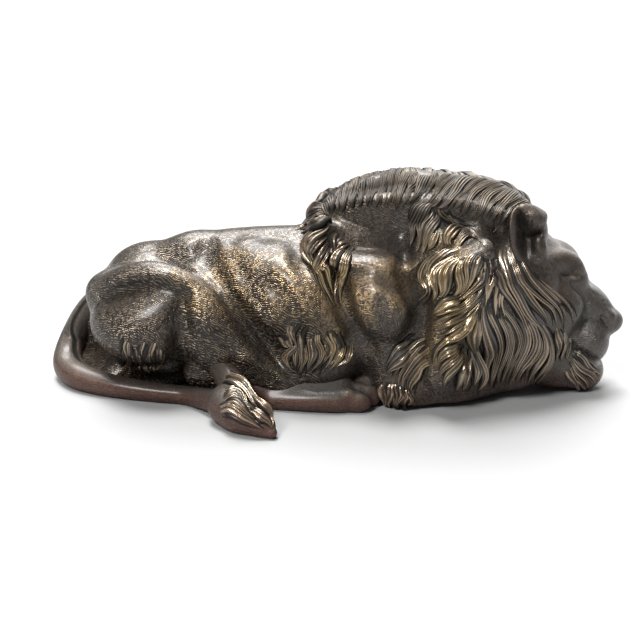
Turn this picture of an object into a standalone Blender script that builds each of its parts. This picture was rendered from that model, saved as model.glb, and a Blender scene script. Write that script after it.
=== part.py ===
"""A reclining lion in cast bronze, asleep, its head on the ground and its tail brought round to the front.

One casting, one solid. Metres, +Z up, head towards +X, the side with the tail tuft towards -Y. The origin is
on the ground, in the lion's middle plane, halfway between the curl of its tail and its nose. The figure is
drawn in shares of its length: one UNIT is a two hundredth of it. A place is written (along, out, up), where
out is measured from the middle plane to either flank.
"""

import math

import bmesh
import bpy
import numpy as np
from mathutils import Matrix, Vector
from mathutils.bvhtree import BVHTree

# Driving dimensions
LENGTH = 0.200  # curl of the tail to tip of the nose
UNIT = LENGTH / 200
LOCK_ROUNDNESS = 1.4  # how high a lock stands off the flesh, as a share of half its width
LOCK_FULLNESS = 1.2  # how much wider the locks are than their combs say
ROOT_DEPTH = 1.3  # in units: how deep a lock's root starts in the flesh
FAR_EAR_DROP = 9  # in units: the far ear lies back, hidden from the near side
FAR_LOWER = 3.5  # in units: the lion leans, so that its far hip and ribs lie lower
FOOT_FLAT = 0.0  # the level at which the underside is cut flat

# Main sizes, in units
BODY_OUT = 27  # half the width of the trunk
SPINE_UP = 47.5  # the line of the spine
CREST_UP = 67  # the line inside the mane's crest, at its highest
CREST_THICK = 10  # half the thickness of the crest
THIGH_OUT = 15  # how far out the middle of the thigh lies
TAIL_THICK = 4.6  # half the thickness of the tail where it lies on the ground

# Modelling steps
CLAY_VOXEL = 1.0 * UNIT
FINE_VOXEL = 0.7 * UNIT
BULK_SMOOTHING = 26
CLAY_SMOOTHING = 5
FINE_SMOOTHING = 1
MUSCLE_SMOOTHING = 3
MOST_TRIANGLES = 9600

NEAR, FAR = -1, 1
BOTH = (NEAR, FAR)


def curve_through(points, count):
    """Evenly numbered places along a Catmull-Rom curve through the points."""
    points = np.array(points, float)
    ends = np.vstack([2 * points[0] - points[1], points, 2 * points[-1] - points[-2]])
    place = np.linspace(0, len(points) - 1, count)
    span = np.minimum(place.astype(int), len(points) - 2)
    t = (place - span)[:, None]
    a, b, c, d = (ends[span + i] for i in range(4))
    return 0.5 * (2 * b + (c - a) * t + (2 * a - 5 * b + 4 * c - d) * t**2 + (3 * b - a - 3 * c + d) * t**3)


def spread(values, count):
    """The values, one for each point of a path, read at count places along it."""
    return np.interp(np.linspace(0, 1, count), np.linspace(0, 1, len(values)), values)


class Clay:
    """Closed lumps gathered in one bmesh. A Remesh modifier melts them into one skin."""

    def __init__(self):
        self.bm = bmesh.new()

    def ball(self, at, size, sides=(1,), tilt=0.0, far_down=0.0):
        """An ellipsoid of those three half sizes. tilt turns it about the out axis, nose down, in degrees."""
        for side in sides:
            centre = Vector((at[0], at[1] * side, at[2] - far_down * (side == FAR))) * UNIT
            turn = Matrix.Rotation(math.radians(tilt), 4, "Y")
            stretch = Matrix.Diagonal((*(Vector(size) * UNIT), 1))
            place = Matrix.Translation(centre) @ turn @ stretch
            bmesh.ops.create_icosphere(self.bm, subdivisions=3, radius=1, matrix=place)

    def limb(self, points, radii, sides=(1,), rings_per_span=5, far_down=0.0):
        """A round limb through the points, with a radius at each, and round ends."""
        count = rings_per_span * (len(points) - 1) + 1
        for side in sides:
            path = (curve_through(points, count) * (1, side, 1) - (0, 0, far_down * (side == FAR))) * UNIT
            self.tube(path, spread(radii, count) * UNIT, None, 1.0)

    def tube(self, path, radii, normals, flatness, around=12):
        """A closed tube along the path. With normals, its section is flatness times as high as wide."""
        along = np.gradient(path, axis=0)
        along /= np.linalg.norm(along, axis=1, keepdims=True)
        if normals is None:
            normals = np.cross(along, (0.31, 0.87, 0.38))
        normals = normals - (normals * along).sum(1, keepdims=True) * along
        normals /= np.linalg.norm(normals, axis=1, keepdims=True)
        across = np.cross(along, normals)
        cap = np.radians([80, 50, 25])
        rings = []
        for angle in cap:
            rings.append((path[0] - along[0] * radii[0] * math.sin(angle), radii[0] * math.cos(angle), 0))
        for i in range(len(path)):
            rings.append((path[i], radii[i], i))
        for angle in cap[::-1]:
            end = path[-1] + along[-1] * radii[-1] * math.sin(angle)
            rings.append((end, radii[-1] * math.cos(angle), -1))
        turn = np.linspace(0, 2 * math.pi, around, endpoint=False)
        loops = []
        for centre, radius, i in rings:
            ring = centre + radius * (
                np.outer(np.cos(turn), across[i]) + flatness * np.outer(np.sin(turn), normals[i])
            )
            loops.append([self.bm.verts.new(p) for p in ring])
        for lower, upper in zip(loops, loops[1:]):
            for j in range(around):
                k = (j + 1) % around
                self.bm.faces.new((lower[j], lower[k], upper[k], upper[j]))
        self.bm.faces.new(loops[0][::-1])
        self.bm.faces.new(loops[-1])

    def to_object(self, name):
        """The lumps as an object of the scene."""
        bmesh.ops.recalc_face_normals(self.bm, faces=self.bm.faces)
        mesh = bpy.data.meshes.new(name)
        self.bm.to_mesh(mesh)
        self.bm.free()
        made = bpy.data.objects.new(name, mesh)
        bpy.context.scene.collection.objects.link(made)
        return made


# Flesh


def torso(clay):
    """Ribcage, loin, belly and the line of the spine."""
    clay.ball((-24, 0, 29), (50, BODY_OUT, 24.5))
    clay.ball((-10, 0, 33), (36, BODY_OUT + 1.5, 21))
    clay.ball((-8, 0, 7), (60, 20, 14))
    clay.ball((-64, 2, 7), (24, 19, 12))
    clay.ball((-6, 20, 18), (16, 10, 14), BOTH)
    spine = [(-62, -9.5), (-46, -3.5), (-30, -1), (-14, 0), (2, 1.5)]  # (along, up from SPINE_UP)
    clay.limb([(x, 0, SPINE_UP + z) for x, z in spine], [8, 8, 8, 8, 9])
    for rib in (
        [(-30, 11, 48), (-25, 17, 45), (-16, 23, 39), (-8, 25.5, 31)],
        [(-18, 12, 48.5), (-13, 19, 45), (-5, 24.5, 38), (2, 26, 30)],
    ):
        clay.limb(rib, [4, 5, 5, 4], BOTH, far_down=FAR_LOWER)


def hindquarters(clay):
    """Pelvis, rump, the two thighs with the ridge that bounds them, and the knees."""
    clay.ball((-65, 5, 30.5), (20, 16, 16), BOTH, tilt=-6, far_down=FAR_LOWER)
    clay.ball((-74, 6, 26), (11.5, 14, 14), BOTH)
    clay.ball((-68, THIGH_OUT, 25), (16.5, 15.5, 13), BOTH)
    clay.ball((-56, THIGH_OUT, 27), (17, 15, 15), BOTH, far_down=2)
    clay.limb([(-55, 20, 31), (-47, 21, 26), (-38, 21.5, 18.5), (-28, 21, 11)], [8.5, 9.5, 9, 7.5], BOTH)
    ridge = [(-80, 10, 33.5), (-70, 16, 38), (-59, 19.5, 40), (-49, 22.5, 38), (-41, 24, 31), (-31, 24.5, 21)]
    clay.limb(ridge + [(-20, 25, 11)], [7, 7, 7, 6.5, 6.3, 5.8, 5.5], BOTH, far_down=FAR_LOWER)
    clay.ball((-16, 23, 8), (8, 6, 7.5), BOTH)
    clay.limb([(-17, 23, 7), (-30, 21, 9), (-46, 20, 9)], [5, 6, 6], BOTH)


def feet(clay):
    """The hind feet lie along the ground, toes forward: a broad sole, a steep outer side and four toes."""
    clay.limb([(-30, 23, 5), (-14, 25, 4.2), (2, 26, 3.8), (8, 25, 3.4)], [5.5, 5, 4.6, 4], BOTH)
    clay.limb([(-20, 28.4, 2.6), (-8, 29.2, 3.4), (2, 29, 3.6), (8, 27.5, 2.8)], [3, 3.6, 4.0, 3.4], BOTH)
    clay.limb([(-26, 20, 8), (-10, 21, 8), (2, 21.5, 8)], [5, 5, 4.5], BOTH)
    for toe in range(4):
        place = (9 + 3.5 * math.sin(0.3 + 0.9 * toe), 29 - 4.7 * toe, 3.6 + 0.5 * toe)
        clay.ball(place, (5, 2.7, 4.2), BOTH)


def tail(clay):
    """The tail sweeps off the rump, round the near side on the ground, and ends in its tuft."""
    path = [(-74, -4, 28), (-84, -5, 26), (-91.5, -4, 20), (-96, -1, 11), (-96, 7, 5), (-89, 16, 4)]
    path += [(-76, 22, 3.5), (-62, 25, 2.8), (-50, 26.5, 2.8), (-42, 31, 3.6), (-36, 36, 6)]
    shares = [1.75, 1.4, 1.1, 1.0, 1.05, 1.05, 0.9, 0.75, 0.75, 0.85, 1.1]  # of TAIL_THICK
    clay.limb(path, [TAIL_THICK * share for share in shares], (NEAR,))
    clay.ball((-86, 1, 8), (10, 14, 8.5), (NEAR,))
    clay.ball((-80, 12, 3), (11, 9, 4.5), (NEAR,))
    clay.limb([(-38, 25, 15), (-34, 30, 11), (-31, 34, 7)], [4.5, 5, 5.5], (NEAR,))
    clay.ball((-32, 41, 7), (8, 7.5, 7.5), (NEAR,))
    clay.ball((-27, 45.5, 5.5), (8, 7, 6.5), (NEAR,))
    clay.limb([(-27, 45, 5), (-21, 50, 3.7), (-17, 53, 2.6)], [6.5, 4.4, 1.8], (NEAR,))


def forequarters(clay):
    """Chest, shoulder blade, the roll over the shoulder and the two lobed upper arm."""
    clay.ball((20, 0, 31), (36, 27, 30))
    clay.ball((13, 9, 50), (17, 15, 13.5), BOTH)
    clay.limb([(6, 21, 55.5), (14, 22.5, 56), (24, 21.5, 55.5)], [5.5, 6.2, 5.5], BOTH)
    clay.ball((13, 18.5, 40), (8, 12, 12), BOTH)
    clay.ball((23, 18.5, 40), (8, 12, 11), BOTH)
    clay.ball((18, 16, 38), (14, 13.5, 13), BOTH)
    clay.limb([(18, 18, 31), (20, 19, 20), (20, 19, 8)], [11, 9, 7], BOTH)


def mane_mass(clay):
    """The bulk of the mane under its locks: neck, crest, eaves over the shoulder, cheek and fall."""
    clay.ball((44, 7, 38), (25, 22.5, 28), BOTH)
    crest = [(-1, -10), (8, -4), (23, 0), (42, -1.5), (55, -4), (62, -9)]  # (along, up from CREST_UP)
    shares = [0.9, 1.0, 1.0, 1.0, 0.95, 0.85]
    clay.limb([(x, 0, CREST_UP + z) for x, z in crest], [CREST_THICK * share for share in shares])
    clay.limb([(x, 12, CREST_UP + z) for x, z in crest[:-1]], [4.5, 5, 5.5, 5.5, 4.5], BOTH)
    clay.limb([(21, 15, 69), (29, 21, 67), (33, 25, 63), (33, 26, 57)], [4.5, 5.5, 5.5, 3.5], BOTH)
    front = [(48, 25, 56), (39, 26, 51), (34, 27, 43), (35, 28, 31), (35, 26, 14)]
    clay.limb(front, [5, 5.5, 5.5, 5.5, 6], BOTH)
    clay.limb([(-2, 17, 60), (-5, 22, 53), (-3, 25, 45)], [4, 5, 4.5], BOTH)
    clay.ball((37, 11, 12), (20, 17, 16), BOTH)
    clay.ball((-1, 12, 52), (9, 9, 9), BOTH)
    clay.ball((34, 14, 56), (12, 12, 9), BOTH)
    clay.ball((26, 20, 6), (11, 8.5, 11), BOTH)
    clay.ball((30, 20, 18), (9, 8, 12), BOTH)
    clay.ball((58, 5, 20), (21, 16, 20), BOTH)
    clay.ball((48, 8, 10), (14, 13, 12), BOTH)
    clay.ball((61, 9, 37), (16, 14, 20), BOTH)


def head(clay):
    """Skull, brow, muzzle and jaw, in profile down to the chin on the ground."""
    clay.ball((60, 0, 43), (18, 15, 17))
    clay.ball((70.5, 0, 40), (13, 12.5, 12.5))
    clay.ball((80.5, 3.6, 41.5), (5.6, 5.6, 4.6), BOTH, far_down=3)
    clay.limb([(79, 0, 35.5), (87.5, 0, 28.5), (92.5, 0, 24.5)], [7.5, 6.5, 4.8])
    clay.ball((95, 0, 25.2), (4.4, 4.8, 4.0))
    clay.ball((85.5, 4.5, 18.5), (9, 6.5, 9), BOTH)
    clay.ball((86, 0, 6.5), (8, 8, 7.5))
    clay.ball((76, 0, 12), (14, 12, 12))
    clay.ball((74, 6.5, 30), (10, 9, 12), BOTH)


EAR = (64, 12.5, 58)
# The rim's places are measured from the ear's middle
EAR_RIM = [(4, 2.5, 8), (-2, 4.5, 11), (-5, 7.5, 9), (-5, 7.5, 0), (-1, 5.5, -7), (4, 3.5, -6)]
EAR_RIM_WIDTHS = [2.8, 2.2, 1.8, 1.8, 2.0, 2.6]


def ears(clay):
    """Round ears with a thick rim, folded forward in a knob. The far one lies lower, back in the mane."""
    for side, drop in ((NEAR, 0), (FAR, FAR_EAR_DROP)):
        middle = np.array(EAR) - (0, 0, drop)
        clay.ball(middle, (6.2, 7.5, 10), (side,), tilt=8)
        clay.limb([middle + rim for rim in EAR_RIM], EAR_RIM_WIDTHS, (side,))
        clay.ball(middle + (4, 3, 7), (4.8, 4.0, 3.6), (side,), tilt=28)


# Muscles: lines along which the flesh swells, and lines along which it is hollowed


# Each is (line, half width, how far it changes the flesh)
SWELLINGS = [
    ([(-83, 12, 36), (-69, 17, 44), (-56, 21, 46), (-46, 24, 42), (-37, 27, 32), (-29, 27, 22)], 5.5, 1.6),
    ([(-71, 27, 31), (-62, 28, 33), (-53, 28, 32)], 10, 1.6),
    ([(-44, 26, 38), (-38, 27, 31), (-34, 27, 25)], 7, 1.4),
    ([(-38, 16, 56), (-36, 23, 52), (-31, 27, 47), (-23, 29, 34)], 7, 2.0),
    ([(-29, 14, 56), (-18, 26, 49), (-12, 28, 43), (-5, 29, 37)], 9, 2.4),
    ([(7, 26, 53), (12, 27, 54), (21, 27, 52)], 5.5, 2.2),
    ([(13, 28, 42), (13, 29, 37), (16, 28, 29)], 9, 2.8),
    ([(19, 28, 41), (20, 29, 36), (18, 28, 28)], 9, 2.6),
    ([(-38, 28, 20), (-35, 28, 19)], 3, 1.2),
    ([(-30, 29, 19), (-27, 29, 19)], 3, 1.2),
]
HOLLOWS = [
    ([(-78, 20, 34), (-65, 25, 39), (-53, 27, 40), (-49, 27, 40)], 4.2, 2.8),
    ([(-49, 28, 39), (-49, 29, 34), (-51, 29, 21)], 3.6, 2.0),
    ([(-38, 27, 45), (-29, 29, 34), (-22, 29, 22), (-18, 28, 17)], 4.5, 2.4),
    ([(-23, 27, 47), (-14, 29, 36), (-11, 30, 29)], 4, 2.0),
    ([(5, 28, 49), (12, 29, 49), (24, 29, 48)], 3.2, 2.4),
    ([(4, 29, 44), (4, 30, 39), (8, 30, 29), (14, 29, 23)], 3.6, 1.8),
    ([(28, 29, 46), (29, 30, 41), (25, 30, 28)], 3.6, 1.8),
    ([(-1, 20, 66), (12, 20, 67), (23, 20, 64)], 4.2, 2.4),
    ([(35, 24, 68), (45, 24, 67), (51, 24, 65)], 4.5, 3.0),
    ([(53, 24, 65), (57, 24, 60), (55, 24, 53)], 4.5, 3.0),
    ([(75, 11, 46), (80, 10, 43), (84, 8, 44)], 1.4, 1.0),
    ([(80, 9, 40), (84, 9, 36), (85, 9, 30)], 1.8, 1.0),
    ([(81, 11, 19), (87, 7, 14), (92, 4, 11)], 1.4, 1.2),
]


def eased(rows):
    """The rows with the jumps between neighbours spread out, ends kept."""
    for _ in range(4):
        rows[1:-1] = (rows[:-2] + 2 * rows[1:-1] + rows[2:]) / 4
    return rows


def laid_on(flesh, points, count, side):
    """A path through the points, brought onto the flesh, with the flesh's normals along it."""
    path, normals = [], []
    far_down = 0.7 * FAR_LOWER * (side == FAR)
    for point in (curve_through(points, count) * (1, side, 1) - (0, 0, far_down)) * UNIT:
        place, normal, _, _ = flesh.find_nearest(Vector(point))
        path.append(place)
        normals.append(normal)
    return eased(np.array(path)), eased(np.array(normals))


def laid_limbs(clay, flesh, lines, up):
    """Limbs sunk into the flesh (up is 1) or held over it (up is -1), so that only the change shows."""
    for points, radius, change in lines:
        for side in BOTH:
            path, normals = laid_on(flesh, points, 13, side)
            ends = np.sin(np.linspace(0.15, math.pi - 0.15, len(path))) ** 0.4
            path = path + normals * up * (change - radius) * UNIT
            clay.tube(path, radius * ends * UNIT, None, 1.0)


def pockets(clay):
    """The deep hollow of each ear, and the gap between the rump and the tail."""
    for side, drop in ((NEAR, 0), (FAR, FAR_EAR_DROP)):
        clay.ball(np.array(EAR) + (0, 8, 1 - drop), (4.4, 5.5, 7), (side,), tilt=8)
    clay.ball((-79, 20, 13), (6, 7.5, 5), (NEAR,))
    clay.limb([(-60, 27, 8.5), (-50, 28.5, 9), (-43, 29.5, 9)], [3, 3.6, 2.4], (NEAR,))


# Locks: each comb holds guide strokes, and the locks between them are worked out


COMBS = {
    "crest": dict(
        count=10,
        width=3.4,
        wave=0.3,
        guides=[
            [(-3, 2, 67), (-3, 9, 65), (-1, 14, 60)],
            [(12, 2, 77), (11, 11, 75), (11, 16, 69)],
            [(33, 2, 78), (29, 12, 76), (24, 17, 69)],
        ],
    ),
    "crown": dict(
        count=9,
        width=3.6,
        wave=0.6,
        guides=[
            [(37, 2, 79), (33, 13, 75), (28, 17, 69)],
            [(52, 2, 77), (44, 14, 74), (36, 18, 69)],
            [(67, 2, 68), (61, 12, 69), (53, 17, 67)],
        ],
    ),
    "roll": dict(
        count=3,
        width=3.4,
        wave=0.0,
        guides=[
            [(25, 16, 70), (28, 21, 67), (29, 25, 62), (28, 25, 56)],
            [(30, 17, 71), (35, 23, 69), (37, 26, 64), (35, 27, 57)],
        ],
    ),
    "curl": dict(
        count=2,
        width=3.6,
        wave=0.0,
        guides=[
            [(40, 27, 55), (42, 28, 59), (46, 28, 59), (48, 27, 55)],
            [(38, 26, 59), (42, 27, 64), (47, 27, 63), (51, 26, 57)],
        ],
    ),
    "cheek": dict(
        count=5,
        width=3.6,
        wave=0.8,
        guides=[
            [(46, 27, 56), (38, 29, 54), (34, 31, 47), (29, 32, 40)],
            [(50, 29, 50), (48, 32, 43), (42, 33, 37), (31, 32, 32)],
            [(50, 31, 42), (47, 33, 36), (40, 33, 30), (33, 32, 24)],
        ],
    ),
    "fall": dict(
        count=5,
        width=3.6,
        wave=1.0,
        guides=[
            [(47, 32, 36), (41, 32, 28), (36, 30, 20), (34, 26, 8)],
            [(50, 32, 36), (49, 31, 26), (49, 28, 15), (47, 20, 3)],
            [(54, 31, 38), (59, 30, 29), (61, 25, 18), (58, 17, 4)],
        ],
    ),
    "ruff": dict(
        count=5,
        width=3.8,
        wave=0.8,
        guides=[
            [(56, 29, 45), (63, 28, 35), (66, 24, 22), (64, 16, 6)],
            [(60, 25, 51), (69, 24, 40), (74, 20, 26), (72, 14, 8)],
            [(65, 21, 51), (76, 18, 41), (81, 15, 28), (80, 13, 14)],
        ],
    ),
    "elbow": dict(
        count=4,
        width=3.2,
        wave=0.6,
        guides=[
            [(33, 32, 26), (27, 31, 21), (22, 29, 14), (18, 27, 5)],
            [(38, 30, 17), (36, 28, 12), (35, 27, 7), (33, 24, 2)],
        ],
    ),
    "nape": dict(
        count=3,
        width=3.4,
        wave=0.6,
        guides=[
            [(0, 10, 67), (-5, 10, 64), (-11, 9, 60), (-17, 7, 57)],
            [(0, 17, 62), (-3, 20, 59), (-8, 20, 55), (-13, 18, 52)],
        ],
    ),
    "shoulder": dict(
        count=4,
        width=3.2,
        wave=1.0,
        guides=[
            [(-1, 17, 62), (-6, 22, 57), (-9, 25, 51), (-7, 28, 45)],
            [(4, 23, 60), (0, 27, 54), (0, 29, 49), (-4, 31, 40)],
        ],
    ),
    "belly": dict(
        count=7,
        width=2.8,
        wave=1.2,
        guides=[
            [(-16, 30, 31), (-14, 30, 26), (-14, 29, 20), (-11, 28, 14)],
            [(6, 31, 31), (8, 31, 25), (7, 30, 19), (2, 29, 13)],
        ],
    ),
    "buttock": dict(
        count=4,
        width=3.4,
        wave=0.4,
        guides=[
            [(-76, 27, 22), (-75, 27, 18), (-72, 26, 13)],
            [(-62, 30, 23), (-61, 29, 18), (-64, 28, 13)],
        ],
    ),
    "chin": dict(
        count=3,
        width=3.0,
        wave=0.3,
        guides=[
            [(78, 13, 14), (83, 11, 11), (88, 9, 6), (90, 7, 2)],
            [(82, 11, 17), (87, 9, 13), (91, 6, 8), (93, 3, 3)],
        ],
    ),
    "tuft": dict(
        count=3,
        width=3.4,
        wave=0.6,
        sides=(NEAR,),
        guides=[
            [(-38, 37, 9), (-34, 44, 9), (-28, 50, 7), (-20, 54, 3)],
            [(-35, 33, 13), (-27, 39, 13), (-21, 45, 10), (-17, 52, 5)],
        ],
    ),
}
STAGGER = 0.618  # the golden ratio's share, which keeps neighbouring locks from repeating


def between(guides, share):
    """The stroke that lies at this share of the way across the guides."""
    place = share * (len(guides) - 1)
    i = min(int(place), len(guides) - 2)
    first, second = np.array(guides[i], float), np.array(guides[i + 1], float)
    return first + (second - first) * (place - i)


def swell(t):
    """A lock's width along its length: narrow root, full middle, pointed tip."""
    return (0.6 + 0.4 * np.sin(math.pi * t)) * (1 - t**4) + 0.12


def comb_locks(clay, flesh, comb, side):
    """The locks of one comb, laid on the flesh."""
    for i in range(comb["count"]):
        share = i / (comb["count"] - 1)
        phase = (i * STAGGER) % 1
        laid, normals = laid_on(flesh, between(comb["guides"], share), 15, side)
        t = np.linspace(0, 1, len(laid))
        run = np.gradient(laid, axis=0)
        run /= np.linalg.norm(run, axis=1, keepdims=True)
        sway = comb["wave"] * UNIT * np.sin(2 * math.pi * (1.1 * t + phase)) * np.sin(math.pi * t)
        root = ROOT_DEPTH * UNIT * np.clip(1 - t / 0.25, 0, 1)
        path = laid + np.cross(run, normals) * sway[:, None] - normals * root[:, None]
        width = LOCK_FULLNESS * comb["width"] * (0.8 + 0.4 * phase) / 2 * UNIT
        clay.tube(path, width * swell(t), normals, LOCK_ROUNDNESS, around=8)


# Finishing


def modified(obj, *settings):
    """Adds modifiers and applies them all. Each is (kind, {setting: value})."""
    for kind, values in settings:
        modifier = obj.modifiers.new(kind.title(), kind)
        for key, value in values.items():
            setattr(modifier, key, value)
    graph = bpy.context.evaluated_depsgraph_get()
    mesh = bpy.data.meshes.new_from_object(obj.evaluated_get(graph))
    obj.modifiers.clear()
    obj.data = mesh
    return obj


def melted(obj, voxel, smoothing):
    """The lumps as one skin, with the creases between them eased."""
    return modified(
        obj,
        ("REMESH", {"mode": "VOXEL", "voxel_size": voxel, "use_smooth_shade": True}),
        ("SMOOTH", {"factor": 0.5, "iterations": smoothing}),
    )


def ground_block():
    """A block whose top is the ground, to cut the underside flat."""
    side, depth = 2 * LENGTH, 0.2 * LENGTH
    bm = bmesh.new()
    place = Matrix.Translation((0, 0, FOOT_FLAT - depth / 2)) @ Matrix.Diagonal((side, side, depth, 1))
    bmesh.ops.create_cube(bm, size=1, matrix=place)
    mesh = bpy.data.meshes.new("ground_block")
    bm.to_mesh(mesh)
    bm.free()
    block = bpy.data.objects.new("ground_block", mesh)
    bpy.context.scene.collection.objects.link(block)
    block.hide_render = True
    block.display_type = "WIRE"
    return block


def bronze():
    """Dark brown patina on cast bronze, rubbed paler on the high places."""
    material = bpy.data.materials.new("bronze")
    material.use_nodes = True
    shader = material.node_tree.nodes["Principled BSDF"]
    shader.inputs["Base Color"].default_value = (0.115, 0.085, 0.058, 1)
    shader.inputs["Metallic"].default_value = 1.0
    shader.inputs["Roughness"].default_value = 0.38
    return material


def build():
    for old in list(bpy.data.objects):
        bpy.data.objects.remove(old)

    clay = Clay()
    for form in (torso, hindquarters, forequarters, mane_mass):
        form(clay)
    bulk = melted(clay.to_object("bulk"), CLAY_VOXEL, BULK_SMOOTHING)

    clay = Clay()
    clay.bm.from_mesh(bulk.data)
    bpy.data.objects.remove(bulk)
    for form in (feet, tail, head, ears):
        form(clay)
    flesh = melted(clay.to_object("flesh"), CLAY_VOXEL, CLAY_SMOOTHING)

    surface = BVHTree.FromObject(flesh, bpy.context.evaluated_depsgraph_get())
    clay = Clay()
    clay.bm.from_mesh(flesh.data)
    laid_limbs(clay, surface, SWELLINGS, 1)
    bpy.data.objects.remove(flesh)
    flesh = melted(clay.to_object("flesh"), FINE_VOXEL, MUSCLE_SMOOTHING)

    surface = BVHTree.FromObject(flesh, bpy.context.evaluated_depsgraph_get())
    clay = Clay()
    laid_limbs(clay, surface, HOLLOWS, -1)
    pockets(clay)
    pressed = melted(clay.to_object("hollows"), FINE_VOXEL, 1)
    modified(flesh, ("BOOLEAN", {"operation": "DIFFERENCE", "object": pressed}))
    bpy.data.objects.remove(pressed)
    surface = BVHTree.FromObject(flesh, bpy.context.evaluated_depsgraph_get())

    clay = Clay()
    clay.bm.from_mesh(flesh.data)
    for comb in COMBS.values():
        for side in comb.get("sides", BOTH):
            comb_locks(clay, surface, comb, side)
    bpy.data.objects.remove(flesh)
    lion = melted(clay.to_object("lion"), FINE_VOXEL, FINE_SMOOTHING)
    triangles = sum(len(p.vertices) - 2 for p in lion.data.polygons)
    modified(lion, ("DECIMATE", {"ratio": MOST_TRIANGLES / triangles}))
    lion.modifiers.new("Underside", "BOOLEAN").object = ground_block()
    lion.data.shade_smooth()
    lion.data.materials.append(bronze())


build()
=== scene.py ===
"""The looks of the sleeping bronze lion: flesh, face, ears, tail and every lock of hair, in cast bronze.

Until a mesh is made, lengths are in units of a two hundredth of the lion's length, a millimetre at full size.
A place is (along, out, up): along the lion towards its head, out from its middle plane, up from the ground.
"""

import math
from collections import namedtuple

import bpy
import numpy as np
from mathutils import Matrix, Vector


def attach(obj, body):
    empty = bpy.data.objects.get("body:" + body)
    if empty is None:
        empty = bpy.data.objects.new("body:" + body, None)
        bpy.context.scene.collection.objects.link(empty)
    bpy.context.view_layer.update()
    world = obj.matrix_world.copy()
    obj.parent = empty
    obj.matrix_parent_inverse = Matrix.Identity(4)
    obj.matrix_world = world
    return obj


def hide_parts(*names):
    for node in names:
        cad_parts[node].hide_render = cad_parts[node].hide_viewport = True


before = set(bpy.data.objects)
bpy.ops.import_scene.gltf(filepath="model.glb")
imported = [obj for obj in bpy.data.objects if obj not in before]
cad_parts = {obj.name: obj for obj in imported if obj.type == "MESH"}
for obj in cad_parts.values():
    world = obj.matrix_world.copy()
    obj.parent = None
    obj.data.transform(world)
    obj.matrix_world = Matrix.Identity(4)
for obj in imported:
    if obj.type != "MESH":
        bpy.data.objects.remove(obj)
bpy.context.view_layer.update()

LENGTH = 0.200  # curl of the tail to tip of the nose
UNIT = LENGTH / 200
NEAR, FAR = -1, 1  # the flanks, by the sign of a place's second part: the photograph shows the near one
BOTH = (NEAR, FAR)
MIRROR = (1, -1, 1)  # from one flank to the other
GROUND = 0.0
CHANCE = np.random.default_rng(11)  # what every random draw comes from, in the order of the file

# Arithmetic on curves and directions


def unit_rows(v):
    """The vectors along the last axis, each brought to length one."""
    return v / np.maximum(np.linalg.norm(v, axis=-1, keepdims=True), 1e-9)


def curve_through(points, count):
    """A Catmull-Rom curve through the points of the second last axis, read at count even places."""
    p = np.asarray(points, float)
    first, last = 2 * p[..., :1, :] - p[..., 1:2, :], 2 * p[..., -1:, :] - p[..., -2:-1, :]
    ends = np.concatenate([first, p, last], axis=-2)
    place = np.linspace(0, p.shape[-2] - 1, count)
    span = np.minimum(place.astype(int), p.shape[-2] - 2)
    t = (place - span)[:, None]
    a, b, c, d = (ends[..., span + i, :] for i in range(4))
    bend, twist = 2 * a - 5 * b + 4 * c - d, 3 * b - a - 3 * c + d
    return 0.5 * (2 * b + (c - a) * t + bend * t**2 + twist * t**3)


def spread(values, count):
    """The values, one for each point of a path, read at count places along it."""
    return np.interp(np.linspace(0, 1, count), np.linspace(0, 1, len(values)), values)


def soft_step(x, low, high):
    """0 below low, 1 above high, and a smooth S between them."""
    t = np.clip((x - low) / (high - low), 0, 1)
    return t * t * (3 - 2 * t)


# The camera, by which what the photograph shows is laid on the flesh

AZIMUTH, ELEVATION, DISTANCE = math.radians(5), math.radians(20), 500.0
TARGET = np.array([-6.0, 0.0, 22.0])
LENS, SENSOR, PICTURE = 79.58, 36.0, 640
LEVEL = math.cos(ELEVATION)
BACK = np.array([math.sin(AZIMUTH) * LEVEL, -math.cos(AZIMUTH) * LEVEL, math.sin(ELEVATION)])
RIGHT = np.array([math.cos(AZIMUTH), math.sin(AZIMUTH), 0])
UP = np.cross(BACK, RIGHT)
EYE = TARGET + DISTANCE * BACK
SHORT_OF_LION = 400.0  # a distance from the eye that is still clear of the lion


def sight(pixels):
    """The lines of sight through pixels: forward, plus (x, y) in the picture over the focal length, unit."""
    off = (np.asarray(pixels, float) - PICTURE / 2) / (LENS / SENSOR * PICTURE)
    return unit_rows(-BACK + off[..., :1] * RIGHT - off[..., 1:] * UP)


def eased(v, times):
    """The rows of the second last axis with jumps between neighbours spread out, ends kept."""
    for _ in range(times):
        v[..., 1:-1, :] = (v[..., :-2, :] + 2 * v[..., 1:-1, :] + v[..., 2:, :]) / 4
    return v


def laid(m, pixels):
    """Where lines of sight meet the flesh of a mould: each is walked by most of the distance left, often.

    A line that passes the flesh by stops where it comes nearest, and its place settles onto the flesh.
    """
    stride, strides = 0.9, 100
    ray = sight(pixels)
    t = np.full(ray.shape[:-1], SHORT_OF_LION)
    best, nearest = t.copy(), np.full(t.shape, np.inf)
    for _ in range(strides):
        away = m.distance(EYE + t[..., None] * ray)
        best, nearest = np.where(away < nearest, t, best), np.minimum(nearest, away)
        t = t + stride * np.maximum(away, 0)
    return eased(m.settle(EYE + eased(best[..., None], 3) * ray, 4), 2)


# The mould: the flesh as a field of distances


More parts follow.
